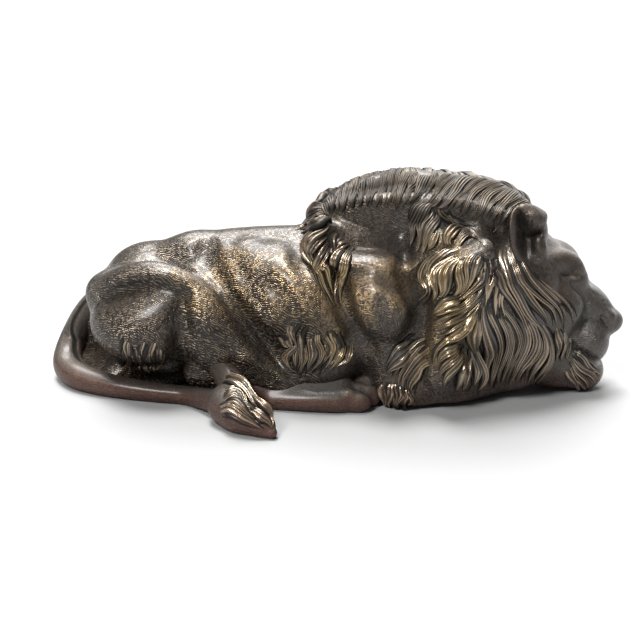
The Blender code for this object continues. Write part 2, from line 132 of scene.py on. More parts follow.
class Mould:
    """A block of space with, at each point of a lattice, the distance to the flesh, negative inside."""

    FARTHEST = 12.0  # distances are right up to this one

    def __init__(self, low, high, pitch):
        self.low, self.pitch = np.array(low, float), pitch
        counts = np.ceil((np.array(high) - low) / pitch).astype(int) + 1
        self.axes = [low[i] + pitch * np.arange(counts[i]) for i in range(3)]
        self.field = np.full(counts, self.FARTHEST, np.float32)

    def window(self, low, high):
        """The part of the lattice between two corners: its slices and its coordinates, ready to broadcast."""
        cut = [
            slice(*np.searchsorted(axis, (low[i] - self.FARTHEST, high[i] + self.FARTHEST)))
            for i, axis in enumerate(self.axes)
        ]
        x, y, z = (axis[c] for axis, c in zip(self.axes, cut))
        return tuple(cut), x[:, None, None], y[None, :, None], z[None, None, :]

    def join(self, cut, distance, blend):
        """Adds a form. Where it is nearer than blend to the flesh, the two flow into each other."""
        old = self.field[cut]
        near = np.maximum(blend - np.abs(old - distance), 0) / blend
        self.field[cut] = np.minimum(old, distance) - near**2 * blend / 4

    def press(self, cut, distance, blend):
        """Takes a form away, with a rounded brim."""
        old = self.field[cut]
        near = np.maximum(blend - np.abs(old + distance), 0) / blend
        self.field[cut] = np.maximum(old, -distance) + near**2 * blend / 4

    def ball(self, at, size, sides=(1,), tilt=0.0, blend=3.0, work=None, far_down=0.0):
        """An ellipsoid: distance = q (q - 1) / |p / size**2|, with q = |p / size|.

        tilt turns it nose down, in degrees. sides says which flanks it is on, where 1 leaves it as given, and
        far_down how much lower it is on the far one. work is join, or press to take it away.
        """
        cos, sin = math.cos(math.radians(tilt)), math.sin(math.radians(tilt))
        reach = max(size)
        for side in sides:
            centre = np.array([at[0], at[1] * side, at[2] - far_down * (side == FAR)])
            cut, x, y, z = self.window(centre - reach, centre + reach)
            if self.field[cut].size == 0:
                continue
            x, y, z = x - centre[0], y - centre[1], z - centre[2]
            x, z = x * cos - z * sin, x * sin + z * cos
            q = np.sqrt((x / size[0]) ** 2 + (y / size[1]) ** 2 + (z / size[2]) ** 2)
            g = np.sqrt((x / size[0] ** 2) ** 2 + (y / size[1] ** 2) ** 2 + (z / size[2] ** 2) ** 2)
            (work or self.join)(cut, q * (q - 1) / np.maximum(g, 1e-6), blend)

    def limb(self, points, radii, sides=(1,), blend=3.0, work=None, steps=4, far_down=0.0):
        """A round limb: distance = least, over its short straight parts, of |p - nearest point| - radius."""
        count = steps * (len(points) - 1) + 1
        for side in sides:
            path = curve_through(points, count) * (1, side, 1) - (0, 0, far_down * (side == FAR))
            radius = spread(radii, count)
            reach = max(radii)
            cut, x, y, z = self.window(path.min(0) - reach, path.max(0) + reach)
            if self.field[cut].size == 0:
                continue
            best = np.full(self.field[cut].shape, np.inf, np.float32)
            for (a, b), (ra, rb) in zip(zip(path, path[1:]), zip(radius, radius[1:])):
                run = b - a
                px, py, pz = x - a[0], y - a[1], z - a[2]
                h = np.clip((px * run[0] + py * run[1] + pz * run[2]) / (run @ run), 0, 1)
                away = np.sqrt((px - h * run[0]) ** 2 + (py - h * run[1]) ** 2 + (pz - h * run[2]) ** 2)
                np.minimum(best, away - (ra + (rb - ra) * h), out=best)
            (work or self.join)(cut, best, blend)

    def flatten_below(self, level):
        """Cuts the flesh off flat at a level."""
        self.field = np.maximum(self.field, (level - self.axes[2]).astype(np.float32)[None, None, :])

    def distance(self, p):
        """The field at any points, worked out from the eight lattice points round each."""
        q = (p - self.low) / self.pitch
        top = np.array(self.field.shape) - 2
        i = np.clip(q.astype(int), 0, top)
        f = np.clip(q - i, 0, 1)
        total = 0
        for corner in np.ndindex(2, 2, 2):
            share = np.prod(np.where(corner, f, 1 - f), axis=-1)
            total = total + share * self.field[tuple(np.moveaxis(i + corner, -1, 0))]
        return total

    def slope(self, p, span=0.8):
        """The field's slope in the three directions, and how strongly the flesh bulges, over a span."""
        sides = [(self.distance(p + span * d), self.distance(p - span * d)) for d in np.eye(3)]
        gradient = np.stack([(a - b) / (2 * span) for a, b in sides], axis=-1)
        bulge = (sum(a + b for a, b in sides) - 6 * self.distance(p)) / span**2
        return gradient, bulge

    def settle(self, p, rounds=8):
        """Moves points to the nearest flesh, by walking down the slope."""
        for _ in range(rounds):
            gradient, _ = self.slope(p)
            p = p - (self.distance(p)[..., None]) * unit_rows(gradient)
        return p

    def outermost(self, origin, ray, reach):
        """Where rays out from origins last leave the flesh: walks in from reach by most of what is left."""
        stride, strides = 0.85, 60
        t = np.broadcast_to(float(reach), ray.shape[:-1]).copy()
        for _ in range(strides):
            t -= stride * self.distance(origin + t[..., None] * ray)
        return t


# The flesh, form by form

FAR_LOWER = 3.5  # how much lower the far flank and hip lie, because the lion leans away from the near side


def torso(m):
    """Ribcage, loin, belly and the line of the spine."""
    m.ball((-24, 0, 29), (50, 27, 24.5))
    m.ball((-10, 0, 33), (36, 28.5, 21))
    m.ball((-8, 0, 7), (60, 20, 14), blend=6)
    m.ball((-64, 2, 7), (24, 19, 12))
    m.ball((-6, 20, 18), (16, 10, 14), BOTH, blend=5)
    m.limb([(-62, 0, 38), (-46, 0, 44), (-30, 0, 46.5), (-14, 0, 47.5), (2, 0, 49)], [8, 8, 8, 8, 9], blend=5)
    for rib in (
        [(-30, 11, 48), (-25, 17, 45), (-16, 23, 39), (-8, 25.5, 31)],
        [(-18, 12, 48.5), (-13, 19, 45), (-5, 24.5, 38), (2, 26, 30)],
    ):
        m.limb(rib, [4, 5, 5, 4], BOTH, blend=5, far_down=FAR_LOWER)


def hindquarters(m):
    """Pelvis, rump, thighs with the ridge that bounds them, and knees."""
    m.ball((-65, 5, 30.5), (20, 16, 16), BOTH, tilt=-6, blend=5, far_down=FAR_LOWER)
    m.ball((-74, 6, 26), (11.5, 14, 14), BOTH, blend=5)
    m.ball((-65, 2, 39.5), (14, 9, 8.8), blend=5)
    m.ball((-68, 15, 25), (16.5, 15.5, 13), BOTH)
    m.ball((-56, 15, 27), (17, 15, 15), BOTH, far_down=2)
    m.limb([(-55, 20, 31), (-47, 21, 26), (-38, 21.5, 18.5), (-28, 21, 11)], [8.5, 9.5, 9, 7.5], BOTH)
    ridge = [(-80, 10, 33.5), (-70, 16, 38), (-59, 19.5, 40), (-49, 22.5, 38), (-41, 24, 31), (-31, 24.5, 21)]
    m.limb(ridge + [(-20, 25, 11)], [7, 7, 7, 6.5, 6.3, 5.8, 5.5], BOTH, far_down=FAR_LOWER)
    m.ball((-16, 23, 8), (8, 6, 7.5), BOTH)
    m.limb([(-17, 23, 7), (-30, 21, 9), (-46, 20, 9)], [5, 6, 6], BOTH)


def forequarters(m):
    """Chest, shoulder blade, the roll over the shoulder and the two lobed upper arm."""
    m.ball((20, 0, 31), (36, 27, 30))
    m.ball((13, 6, 55), (18, 13.5, 14), BOTH)
    m.limb([(6, 23, 52), (14, 25, 52), (24, 24.5, 51.5)], [4.6, 5.2, 4.8], BOTH, blend=1.2)
    m.ball((18, 16, 38), (14, 13.5, 13), BOTH)
    m.ball((14.5, 18.5, 38), (9.5, 12.5, 12), BOTH, tilt=-8, blend=2)
    m.ball((21, 18.5, 35.5), (8, 12, 11), BOTH, tilt=14)
    m.limb([(18, 18, 31), (20, 19, 20), (20, 19, 8)], [11, 9, 7], BOTH)


CREST = [(-1, 57), (8, 63), (23, 67), (42, 65.5), (55, 63), (62, 58)]  # (along, up) of the mane's top


def mane_mass(m):
    """The bulk of the mane under its locks: neck, crest, eaves over the shoulder, and cheek."""
    m.ball((44, 7, 38), (25, 22.5, 28), BOTH)
    m.limb([(x, 0, z) for x, z in CREST], [9, 10, 10, 10, 9.5, 8.5])
    m.limb([(x, 12, z) for x, z in CREST[:-1]], [4.5, 5, 5.5, 5.5, 4.5], BOTH, blend=2)
    edge = [(50, 25, 56), (42, 26, 51), (37.5, 27, 43), (38, 28, 31), (37, 26, 14)]
    m.limb(edge, [5, 5.5, 5.5, 5.5, 6], BOTH)
    m.limb([(-2, 17, 60), (-5, 22, 53), (-3, 25, 45)], [3.5, 4, 3.5], BOTH)
    m.ball((37, 11, 12), (20, 17, 16), BOTH)
    m.ball((-1, 12, 52), (9, 9, 9), BOTH)
    m.ball((34, 14, 56), (12, 12, 9), BOTH)
    m.ball((26, 20, 6), (11, 8.5, 11), BOTH)
    m.ball((58, 5, 20), (21, 16, 20), BOTH)
    m.ball((48, 8, 10), (14, 13, 12), BOTH)
    m.ball((61, 9, 37), (16, 14, 20), BOTH)


def head(m):
    """Skull, brow, muzzle and jaw, in profile down to the chin on the ground."""
    m.ball((60, 0, 43), (18, 15, 17))
    m.ball((70.5, 0, 40), (13, 12.5, 12.5))
    m.ball((80.5, 3.6, 41.5), (5.6, 5.6, 4.6), BOTH, far_down=3)
    m.limb([(79, 0, 35.5), (87.5, 0, 28.5), (92.5, 0, 24.5)], [7.5, 6.5, 4.8])
    m.ball((95, 0, 25.2), (4.4, 4.8, 4.0), blend=2.5)
    m.ball((85.5, 4.5, 18.5), (9, 6.5, 9), BOTH)
    m.ball((86, 0, 6.5), (8, 8, 7.5), blend=1.5)
    m.ball((76, 0, 12), (14, 12, 12))
    m.ball((74, 6.5, 30), (10, 9, 12), BOTH)


def modelled(m, pixels, radius, rise, blend=2.5, count=14, far=1.0):
    """A swelling, or a groove where rise is negative, along a line of the photograph, alike on both flanks.

    It is a limb of that radius, sunk under the flesh or held over it so that it changes the flesh by rise. It
    thins at its ends: radius sin(a)**0.35, a from just over 0 to just under pi. far is the share of the rise
    on the far flank.
    """
    blunt = 0.12
    near = laid(m, curve_through(pixels, count))
    work = m.join if rise > 0 else m.press
    ends = np.sin(np.linspace(blunt, math.pi - blunt, count)) ** 0.35
    for path, share in ((near, 1.0), (m.settle(near * MIRROR), far)):
        normal = eased(unit_rows(m.slope(path, 2.5)[0]), 2)
        sunk = path + normal * (rise * share - math.copysign(radius, rise))
        m.limb([tuple(p) for p in sunk], list(radius * ends), (1,), blend, work, 1)


def hind_muscles(m):
    """Hip, thigh, the fold of skin in front of it, flank and ribs."""
    # The hip, the ridge over the thigh and down to the knee, and the hollow under it
    modelled(m, [(168, 246), (184, 244), (202, 240)], 9, 1.0, 5, far=-0.4)
    modelled(m, [(150, 259), (165, 262), (182, 263), (198, 266)], 5, -1.2, 4)
    upper = [(96, 288), (112, 278), (132, 272), (150, 269), (166, 271), (182, 277), (196, 286)]
    modelled(m, upper, 5.5, 2.0, 3, 20, 0.4)
    lower = [(186, 282), (199, 290), (210, 302), (221, 316), (233, 328), (246, 344), (256, 358)]
    modelled(m, lower, 5, 1.8, 3, 20)
    modelled(m, [(106, 300), (122, 294), (140, 292), (158, 292), (174, 292), (186, 293)], 4.2, -3.2, 3, 20)
    # The bulges of the thigh and the grooves between them
    modelled(m, [(122, 324), (140, 318), (158, 317), (173, 320)], 12, 2.0, 5)
    modelled(m, [(127, 344), (145, 342), (165, 344)], 9, 1.4, 5)
    modelled(m, [(183, 297), (183, 312), (182, 330), (180, 348), (176, 360)], 3.6, -2.2, 3)
    modelled(m, [(197, 303), (207, 318), (218, 332), (228, 344)], 7, 1.8, 4)
    modelled(m, [(212, 331), (222, 338), (232, 345)], 3.0, -1.6, 2.5)
    # The hollow in front of the thigh, and the fold of skin along it
    modelled(m, [(218, 280), (230, 296), (243, 313), (254, 330), (266, 348), (277, 362)], 4.5, -2.6, 3, 20)
    lip = [(182, 266), (197, 268), (211, 281), (226, 298), (239, 315), (250, 332), (260, 348), (272, 366)]
    modelled(m, lip + [(287, 384)], 1.3, 0.9, 1.0, 30)
    # Flank and ribs, and the grooves between them
    modelled(m, [(222, 238), (224, 256), (237, 275), (250, 292), (262, 314), (268, 330)], 7, 1.8, 4, 20, 0.3)
    modelled(m, [(207, 240), (206, 254), (214, 268), (226, 282)], 4.5, -1.8, 3)
    modelled(m, [(236, 262), (248, 280), (260, 298), (268, 316)], 3.5, -1.3, 3)
    modelled(m, [(248, 236), (262, 252), (276, 268), (296, 290), (316, 308), (332, 322)], 9, 2.2, 5, 20, 0.2)
    modelled(m, [(262, 276), (275, 292), (288, 310), (298, 330)], 4, -1.8, 3)
    modelled(m, [(272, 300), (280, 318), (290, 334)], 6, 1.2, 4)
    modelled(m, [(288, 240), (300, 252), (316, 270), (332, 290)], 3.5, -1.2, 3)
    # Creases over the knee
    modelled(m, [(218, 349), (223, 355), (230, 356)], 2.4, 1.5, 1.5)
    modelled(m, [(241, 353), (247, 358), (254, 357)], 2.4, 1.4, 1.5)
    modelled(m, [(256, 368), (266, 378), (278, 386)], 4.5, -1.0, 1.5)


def shoulder_muscles(m):
    """The flat over the roll, the roll, its crease, and the upper arm's two lobes in their grooves."""
    modelled(m, [(344, 232), (366, 231), (388, 233), (402, 236)], 14, -1.2, 4)
    modelled(m, [(350, 261), (366, 259), (384, 260), (396, 263)], 6, 1.6, 2)
    modelled(m, [(346, 273), (368, 275), (390, 278), (404, 278)], 2.4, -2.2, 2)
    modelled(m, [(363, 288), (366, 302), (374, 320)], 11, 3.4, 4)
    modelled(m, [(386, 298), (397, 306), (398, 318), (391, 330)], 10, 3.0, 4)
    modelled(m, [(382, 298), (384, 314), (388, 334)], 2.2, -0.9, 2.5)
    modelled(m, [(378, 278), (392, 284), (404, 290), (411, 298)], 3.5, -1.8, 2)
    modelled(m, [(346, 286), (346, 302), (351, 320), (362, 338), (374, 352)], 3.2, -1.8, 3)
    modelled(m, [(414, 284), (418, 300), (415, 320), (404, 340)], 3.0, -1.8, 3)


def mane_hollows(m):
    """The pockets between crest, cheek and ear, the crest's eaves, and the groove before the shoulder."""
    modelled(m, [(440, 212), (455, 216), (470, 217), (486, 222)], 5, -3.6)
    modelled(m, [(494, 222), (503, 236), (504, 250), (500, 258)], 6, -4.0, 3)
    modelled(m, [(332, 205), (350, 205), (370, 204), (392, 203), (408, 206)], 4.0, 2.6, 2, 20)
    modelled(m, [(332, 219), (350, 218), (370, 217), (390, 219), (404, 224)], 4.0, -2.6, 2.5, 20)
    modelled(m, [(406, 250), (405, 266), (407, 284), (410, 304)], 3.0, -2.6)


def feet(m):
    """The hind feet lie along the ground, toes forward: a broad sole, a steep outer side, and four toes."""
    m.limb([(-30, 23, 5), (-14, 25, 4.2), (2, 26, 3.8), (8, 25, 3.4)], [5.5, 5, 4.6, 4], BOTH)
    m.limb([(-20, 28.4, 2.6), (-8, 29.2, 3.4), (2, 29, 3.6), (8, 27.5, 2.8)], [3, 3.6, 4, 3.4], BOTH, blend=2)
    m.limb([(-26, 20, 8), (-10, 21, 8), (2, 21.5, 8)], [5, 5, 4.5], BOTH, blend=5)
    m.limb([(-9, 27.5, 5.6), (-2, 27, 6.8), (5, 26, 6.4)], [1.4, 1.8, 1.6], BOTH, blend=1.5)
    for (x, y, z), size in (
        ((9, 29, 3.4), (5, 2.8, 3.6)),
        ((12, 24.5, 4), (5, 2.7, 4.2)),
        ((12.5, 19.5, 5), (5, 2.7, 4.6)),
        ((10, 15, 5), (5, 2.7, 4.6)),
    ):
        m.ball((x, y, z), size, BOTH, blend=0.8)
        m.ball((x - 3, y, z + 2.6), (2.8, 2.2, 2), BOTH, blend=0.8)  # the toe's knuckle


# The tail's middle line, where across is towards the far side, and half its width at each place
TAIL = [(-74, 4, 28), (-84, 5, 26), (-91.5, 4, 20), (-96, 1, 11), (-96, -7, 5), (-89, -16, 4)]
TAIL += [(-76, -22, 3.5), (-62, -25, 3), (-50, -26.5, 2.8), (-42, -31, 3.6), (-36, -36, 5)]
TAIL_WIDTHS = [8, 6.5, 5.2, 4.8, 5.2, 5.2, 4.4, 3.7, 3.6, 4.2, 5]


def tail_root(m):
    """The tail where it leaves the rump, and the low web between the two."""
    m.limb([(x, -y, z) for x, y, z in TAIL[:2]], TAIL_WIDTHS[:2], (NEAR,), blend=6)
    m.limb([(-84, 2, 22), (-90, 4, 16), (-91, 6, 9), (-88, 8, 4)], [4, 4, 4.5, 4])
    m.ball((-88, 3, 3), (8.5, 11, 6.5))
    m.ball((-82, 11, 1.5), (12, 10, 3.4), (NEAR,))


def tuft(m):
    """The pod of the tail's tuft, and the tongue of hair by which it hangs on the thigh."""
    m.limb([(-38, 25, 15), (-34, 30, 11), (-31, 34, 7)], [4.5, 5, 5.5], (NEAR,))
    m.ball((-32, 41, 6), (8, 7.5, 7.5), (NEAR,))
    m.ball((-27, 45.5, 4.5), (8, 7, 6.5), (NEAR,))
    m.limb([(-27, 45, 4), (-21, 50, 3), (-17, 53, 2)], [6, 4.2, 1.8], (NEAR,))


EARS = {NEAR: 0, FAR: 9}  # how much lower each ear lies
EAR_MIDDLE = (528, 237, 12.5)  # two pixel coordinates, and how far out from the lion's middle plane
EAR_RIM = [(541, 216, 15), (531, 209.5, 16), (522, 207.5, 17.5), (515.5, 210, 19), (512.5, 218, 20.5)]
EAR_RIM += [(512, 230, 21), (513, 244, 20.5), (517, 255, 19.5), (524, 262.5, 18), (532, 265, 17)]
EAR_RIM += [(539, 259, 16)]
EAR_RIM_WIDTHS = [2.2, 1.9, 1.6, 1.4, 1.3, 1.3, 1.3, 1.3, 1.4, 1.5, 1.7]


def seen_at(x, y, out):
    """The place seen through a pixel that is so far out on the near side, mirrored to a positive out."""
    ray = sight((x, y))
    p = EYE + (-out - EYE[1]) / ray[1] * ray
    return (p[0], out, p[2])


def ear(m, side):
    """An ear: a ball with a deep hollow and a thin rim, folded forward in a knob on top, and a lobe."""
    drop = np.array([0, 0, EARS[side]])
    m.ball(seen_at(*EAR_MIDDLE) - drop, (6.4, 6.5, 10), (side,), tilt=8)
    m.ball(seen_at(528, 237, 21.5) - drop, (5.6, 8.8, 8.8), (side,), tilt=8, blend=0.8, work=m.press)
    m.limb([tuple(seen_at(*p) - drop) for p in EAR_RIM], EAR_RIM_WIDTHS, (side,), 1.0)
    m.ball(seen_at(534, 217.5, 16.5) - drop, (4.6, 4.0, 3.2), (side,), tilt=28, blend=1.0)
    m.ball(seen_at(540, 247, 16) - drop, (2.4, 2.8, 4.4), (side,), tilt=-15, blend=1.0)


def face(m):
    """The notch over the bridge, brow, closed lids, cheek, bridge, nostril, muzzle, mouth and lip."""
    m.ball((90, 0, 38.8), (5, 5.5, 2.3), blend=1.5, work=m.press)
    modelled(m, [(553, 261), (563, 258), (573, 260), (580, 265)], 4.0, 2.4, 2.0)
    modelled(m, [(562, 272.5), (567, 275.5), (573, 278), (580, 277.5)], 1.0, -1.5, 0.8)
    modelled(m, [(561, 280), (571, 282.5), (579, 282)], 2.0, 1.0, 1.0)
    modelled(m, [(562, 291), (570, 298), (577, 307), (577, 316)], 6, 2.0, 2.5)
    modelled(m, [(573, 285), (580, 292), (585, 301), (585, 310), (580, 320)], 1.3, -1.0, 1.2)
    modelled(m, [(583, 285), (592, 294), (602, 302), (611, 308)], 4.5, 0.9, 3)
    modelled(m, [(606, 312), (611, 317), (610, 323)], 2.4, 1.1, 1.0)
    modelled(m, [(602.5, 315), (604.5, 320), (608, 325)], 1.1, -1.6, 0.7)
    modelled(m, [(588, 333), (596, 340), (600, 350)], 5, 0.9, 2.5)
    modelled(m, [(571.3, 342), (577.5, 350), (588, 355), (599, 361)], 1.0, -1.3, 0.8)
    modelled(m, [(588, 362), (599, 366)], 2.2, 0.7, 1.2)


def mould(low, high, pitch, *forms):
    """A mould of these forms between two corners, cut off flat at the ground."""
    m = Mould(low, high, pitch)
    for form in forms:
        form(m)
    m.flatten_below(GROUND)
    return m


# Wear: places of the photograph that hands have rubbed golden, each with its reach

RUBBED = [
    ((226, 262), 8), ((240, 285), 8), ((252, 300), 7), ((288, 286), 9), ((304, 296), 9), ((322, 312), 8),
    ((370, 265), 9), ((366, 302), 11), ((392, 312), 8), ((427, 235), 9), ((468, 240), 7), ((428, 270), 8),
    ((470, 275), 8), ((425, 300), 7), ((448, 318), 9), ((445, 362), 9), ((492, 350), 7), ((343, 382), 6),
    ((535, 219), 5), ((541, 247), 4), ((130, 276), 11), ((165, 274), 8), ((215, 306), 7), ((145, 322), 8),
    ((325, 252), 8), ((266, 410), 6), ((300, 338), 9), ((332, 342), 8),
]


def rubbing(p):
    """How golden the bronze is at places on the lion, 0 to 1, alike on both flanks."""
    near = np.stack([p[..., 0], -np.abs(p[..., 1]), p[..., 2]], -1)
    away = np.linalg.norm(near[:, None] - rubbed_places, axis=-1)
    return np.exp(-((away / [reach for _, reach in RUBBED]) ** 2)).sum(-1).clip(0, 1)


# Meshes out of grids


def piece(name, verts, faces, material, **attributes):
    """An object from vertices in units and faces, with one value or vector for each vertex in each attribute.

    Quads are shaded smooth. The triangles that close an end are flat, so that they don't bend its light.
    """
    attributes["rubbed"] = rubbing(verts)
    mesh = bpy.data.meshes.new(name)
    mesh.from_pydata((verts * UNIT).tolist(), [], faces)
    mesh.polygons.foreach_set("use_smooth", np.array([len(face) == 4 for face in faces]))
    for key, values in attributes.items():
        kind = "FLOAT" if values.ndim == 1 else "FLOAT_VECTOR"
        field = "value" if values.ndim == 1 else "vector"
        mesh.attributes.new(key, kind, "POINT").data.foreach_set(field, values.astype(np.float32).ravel())
    mesh.materials.append(material)
    mesh.update()
    made = bpy.data.objects.new(name, mesh)
    bpy.context.scene.collection.objects.link(made)
    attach(made, "root")
    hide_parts("lion")
    return made


def sleeve_faces(batch, rows, around):
    """Faces of closed sleeves: rows by around points, the rings joined in turn, each end closed on a pole.

    Each sleeve's points are numbered row by row, then its first pole and its last pole.
    """
    i, j = np.meshgrid(np.arange(rows - 1), np.arange(around), indexing="ij")
    k = (j + 1) % around
    here, ahead = i * around, (i + 1) * around
    quads = np.stack([here + j, here + k, ahead + k, ahead + j], -1).reshape(-1, 4)
    j = np.arange(around)
    k = (j + 1) % around
    last = (rows - 1) * around
    start = np.stack([np.full(around, rows * around), k, j], -1)
    end = np.stack([np.full(around, rows * around + 1), last + j, last + k], -1)
    each = rows * around + 2
    faces = []
    for n in range(batch):
        faces += (quads + n * each).tolist() + (start + n * each).tolist() + (end + n * each).tolist()
    return faces


def sleeves(name, rings, first, last, material, **attributes):
    """A piece of closed sleeves: rings (sleeve, row, around, 3), and the poles first and last (sleeve, 3)."""
    batch, rows, around = rings.shape[:3]
    verts = np.concatenate([rings.reshape(batch, -1, 3), first[:, None], last[:, None]], 1).reshape(-1, 3)
    whole = {}
    for key, v in attributes.items():
        flat = v.reshape(batch, rows * around, *v.shape[3:])
        whole[key] = np.concatenate([flat, flat[:, :1], flat[:, -1:]], 1).reshape(-1, *v.shape[3:])
    return piece(name, verts, sleeve_faces(batch, rows, around), material, **whole)


# Skins

AXIS_UP = 13.0  # the height of the line inside the body that the rays run out from
LEAN = 89  # how far, in degrees, the last rays lean out of the plane across the axis


def ring_of_angles(width, height, count, under):
    """Angles round the lion for even places on an ellipse about it, with an under share of them below."""
    near_ground = 0.12 * height
    fine = np.linspace(0, 2 * math.pi, 4000, endpoint=False)
    y, z = width * np.cos(fine), height * (0.5 + 0.5 * np.sin(fine))
    step = np.hypot(np.gradient(y), np.gradient(z)) * np.where(z < near_ground, under, 1)
    along = np.cumsum(step)
    pick = np.interp(np.linspace(0, along[-1], count, endpoint=False), along, fine)
    y, z = width * np.cos(pick), height * (0.5 + 0.5 * np.sin(pick))
    return np.arctan2(z - AXIS_UP, y)


def skin(m, start, end, rows, angles, reach=75):
    """Flesh as a function of row and angle: point = place on an axis + ray * how far out the flesh lies.

    rows are the counts of rows fanned round the axis's start, spread along it, and fanned round its end.
    A ray is sin(lean) * the axis's direction + cos(lean) * (cos(angle), sin(angle)) in the plane across it.
    How far out the flesh lies is averaged with its neighbours, twice.
    """
    start, end = np.array(start, float), np.array(end, float)
    run = unit_rows(end - start)
    across = unit_rows(np.cross((0, 0, 1), run))
    rear, middle, front = rows
    share = np.concatenate([np.zeros(rear), np.linspace(0, 1, middle), np.ones(front)])
    lean_rear, lean_front = np.linspace(-LEAN, 0, rear + 1)[:-1], np.linspace(0, LEAN, front + 1)[1:]
    lean = np.radians(np.concatenate([lean_rear, np.zeros(middle), lean_front]))
    origin = (start + share[:, None] * (end - start))[:, None, :]
    round_ = np.cos(angles)[:, None] * across + np.sin(angles)[:, None] * np.cross(run, across)
    ray = np.sin(lean)[:, None, None] * run + np.cos(lean)[:, None, None] * round_
    t = m.outermost(origin, ray, reach)
    for _ in range(2):
        t = (np.roll(t, 1, 1) + 2 * t + np.roll(t, -1, 1)) / 4
        t[1:-1] = (t[:-2] + 2 * t[1:-1] + t[2:]) / 4
    return origin + t[..., None] * ray


def dressed(name, m, p, material, span):
    """Meshes a skin, with where on it each place lies, how strongly it bulges, and how sheltered it is.

    The bulge is measured over the span. Shelter is 1 - (the distance to the flesh from d straight out) / d,
    half of it for d = span and half for d = 2.4 span.
    """
    gradient, bulge = m.slope(p, span)
    normal = unit_rows(gradient)
    # shelter is what the finish paints shade with
    shelter = sum(np.clip(1 - m.distance(p + normal * d) / d, 0, 1) * 0.5 for d in (span, 2.4 * span))
    run = np.cumsum(np.linalg.norm(np.diff(p, axis=0, prepend=p[:1]), axis=-1), 0).mean(1)
    round_ = np.cumsum(np.linalg.norm(np.diff(p, axis=1, prepend=p[:, :1]), axis=-1), 1)
    flow = np.stack([np.broadcast_to(run[:, None], round_.shape), round_, 0 * round_], -1)
    first, last = p[0].mean(0), p[-1].mean(0)
    return sleeves(
        name, p[None], first[None], last[None], material,
        flow=flow[None], crest=bulge[None], shelter=shelter[None],
    )


def tail_sleeve(name, m, material, rows, around):
    """The tail, a flattened and squarish sleeve with a groove along its inner top and a swelling beside that.

    Across it lies w cos(a)**0.85 and up from it 0.85 w sin(a)**0.85, the signs of cos(a) and sin(a) kept,
    both times 1 - 0.13 e**-((a - 2.2) / 0.22)**2 + 0.05 e**-((a - 2.75) / 0.25)**2.
    """
    flatness, squareness = 0.85, 0.85
    path = curve_through(TAIL, rows)
    width = spread(TAIL_WIDTHS, rows)
    run = unit_rows(np.gradient(path, axis=0))
    across = unit_rows(np.cross(run, (0, 0, 1)))
    up = np.cross(across, run)
    a = np.linspace(0, 2 * math.pi, around, endpoint=False)
    groove = 1 - 0.13 * np.exp(-(((a - 2.2) / 0.22) ** 2)) + 0.05 * np.exp(-(((a - 2.75) / 0.25) ** 2))
    out = width[:, None] * np.sign(np.cos(a)) * np.abs(np.cos(a)) ** squareness * groove
    rise = flatness * width[:, None] * np.sign(np.sin(a)) * np.abs(np.sin(a)) ** squareness * groove
    rings = path[:, None] + across[:, None] * out[..., None] + up[:, None] * rise[..., None]
    rings[..., 2] = np.maximum(rings[..., 2], GROUND)
    length = np.cumsum(np.linalg.norm(np.diff(path, axis=0, prepend=path[:1]), axis=1))
    flow = np.stack([np.broadcast_to(length[:, None], out.shape), a * width.mean() + 0 * out, 0 * out], -1)
    crest = np.broadcast_to(0.12 + 0.1 * np.sin(a), out.shape)
    # shelter, painted as shade by the finish: the underside near the ground and the groove
    shelter = 0.25 * (1 - np.sin(a)) * (rings[..., 2] < 6) + np.broadcast_to(0.8 * (groove < 0.93), out.shape)
    return sleeves(
        name, rings[None], path[None, 0], path[None, -1], material,
        flow=flow[None], crest=crest[None], shelter=shelter[None],
    )


# Locks of hair

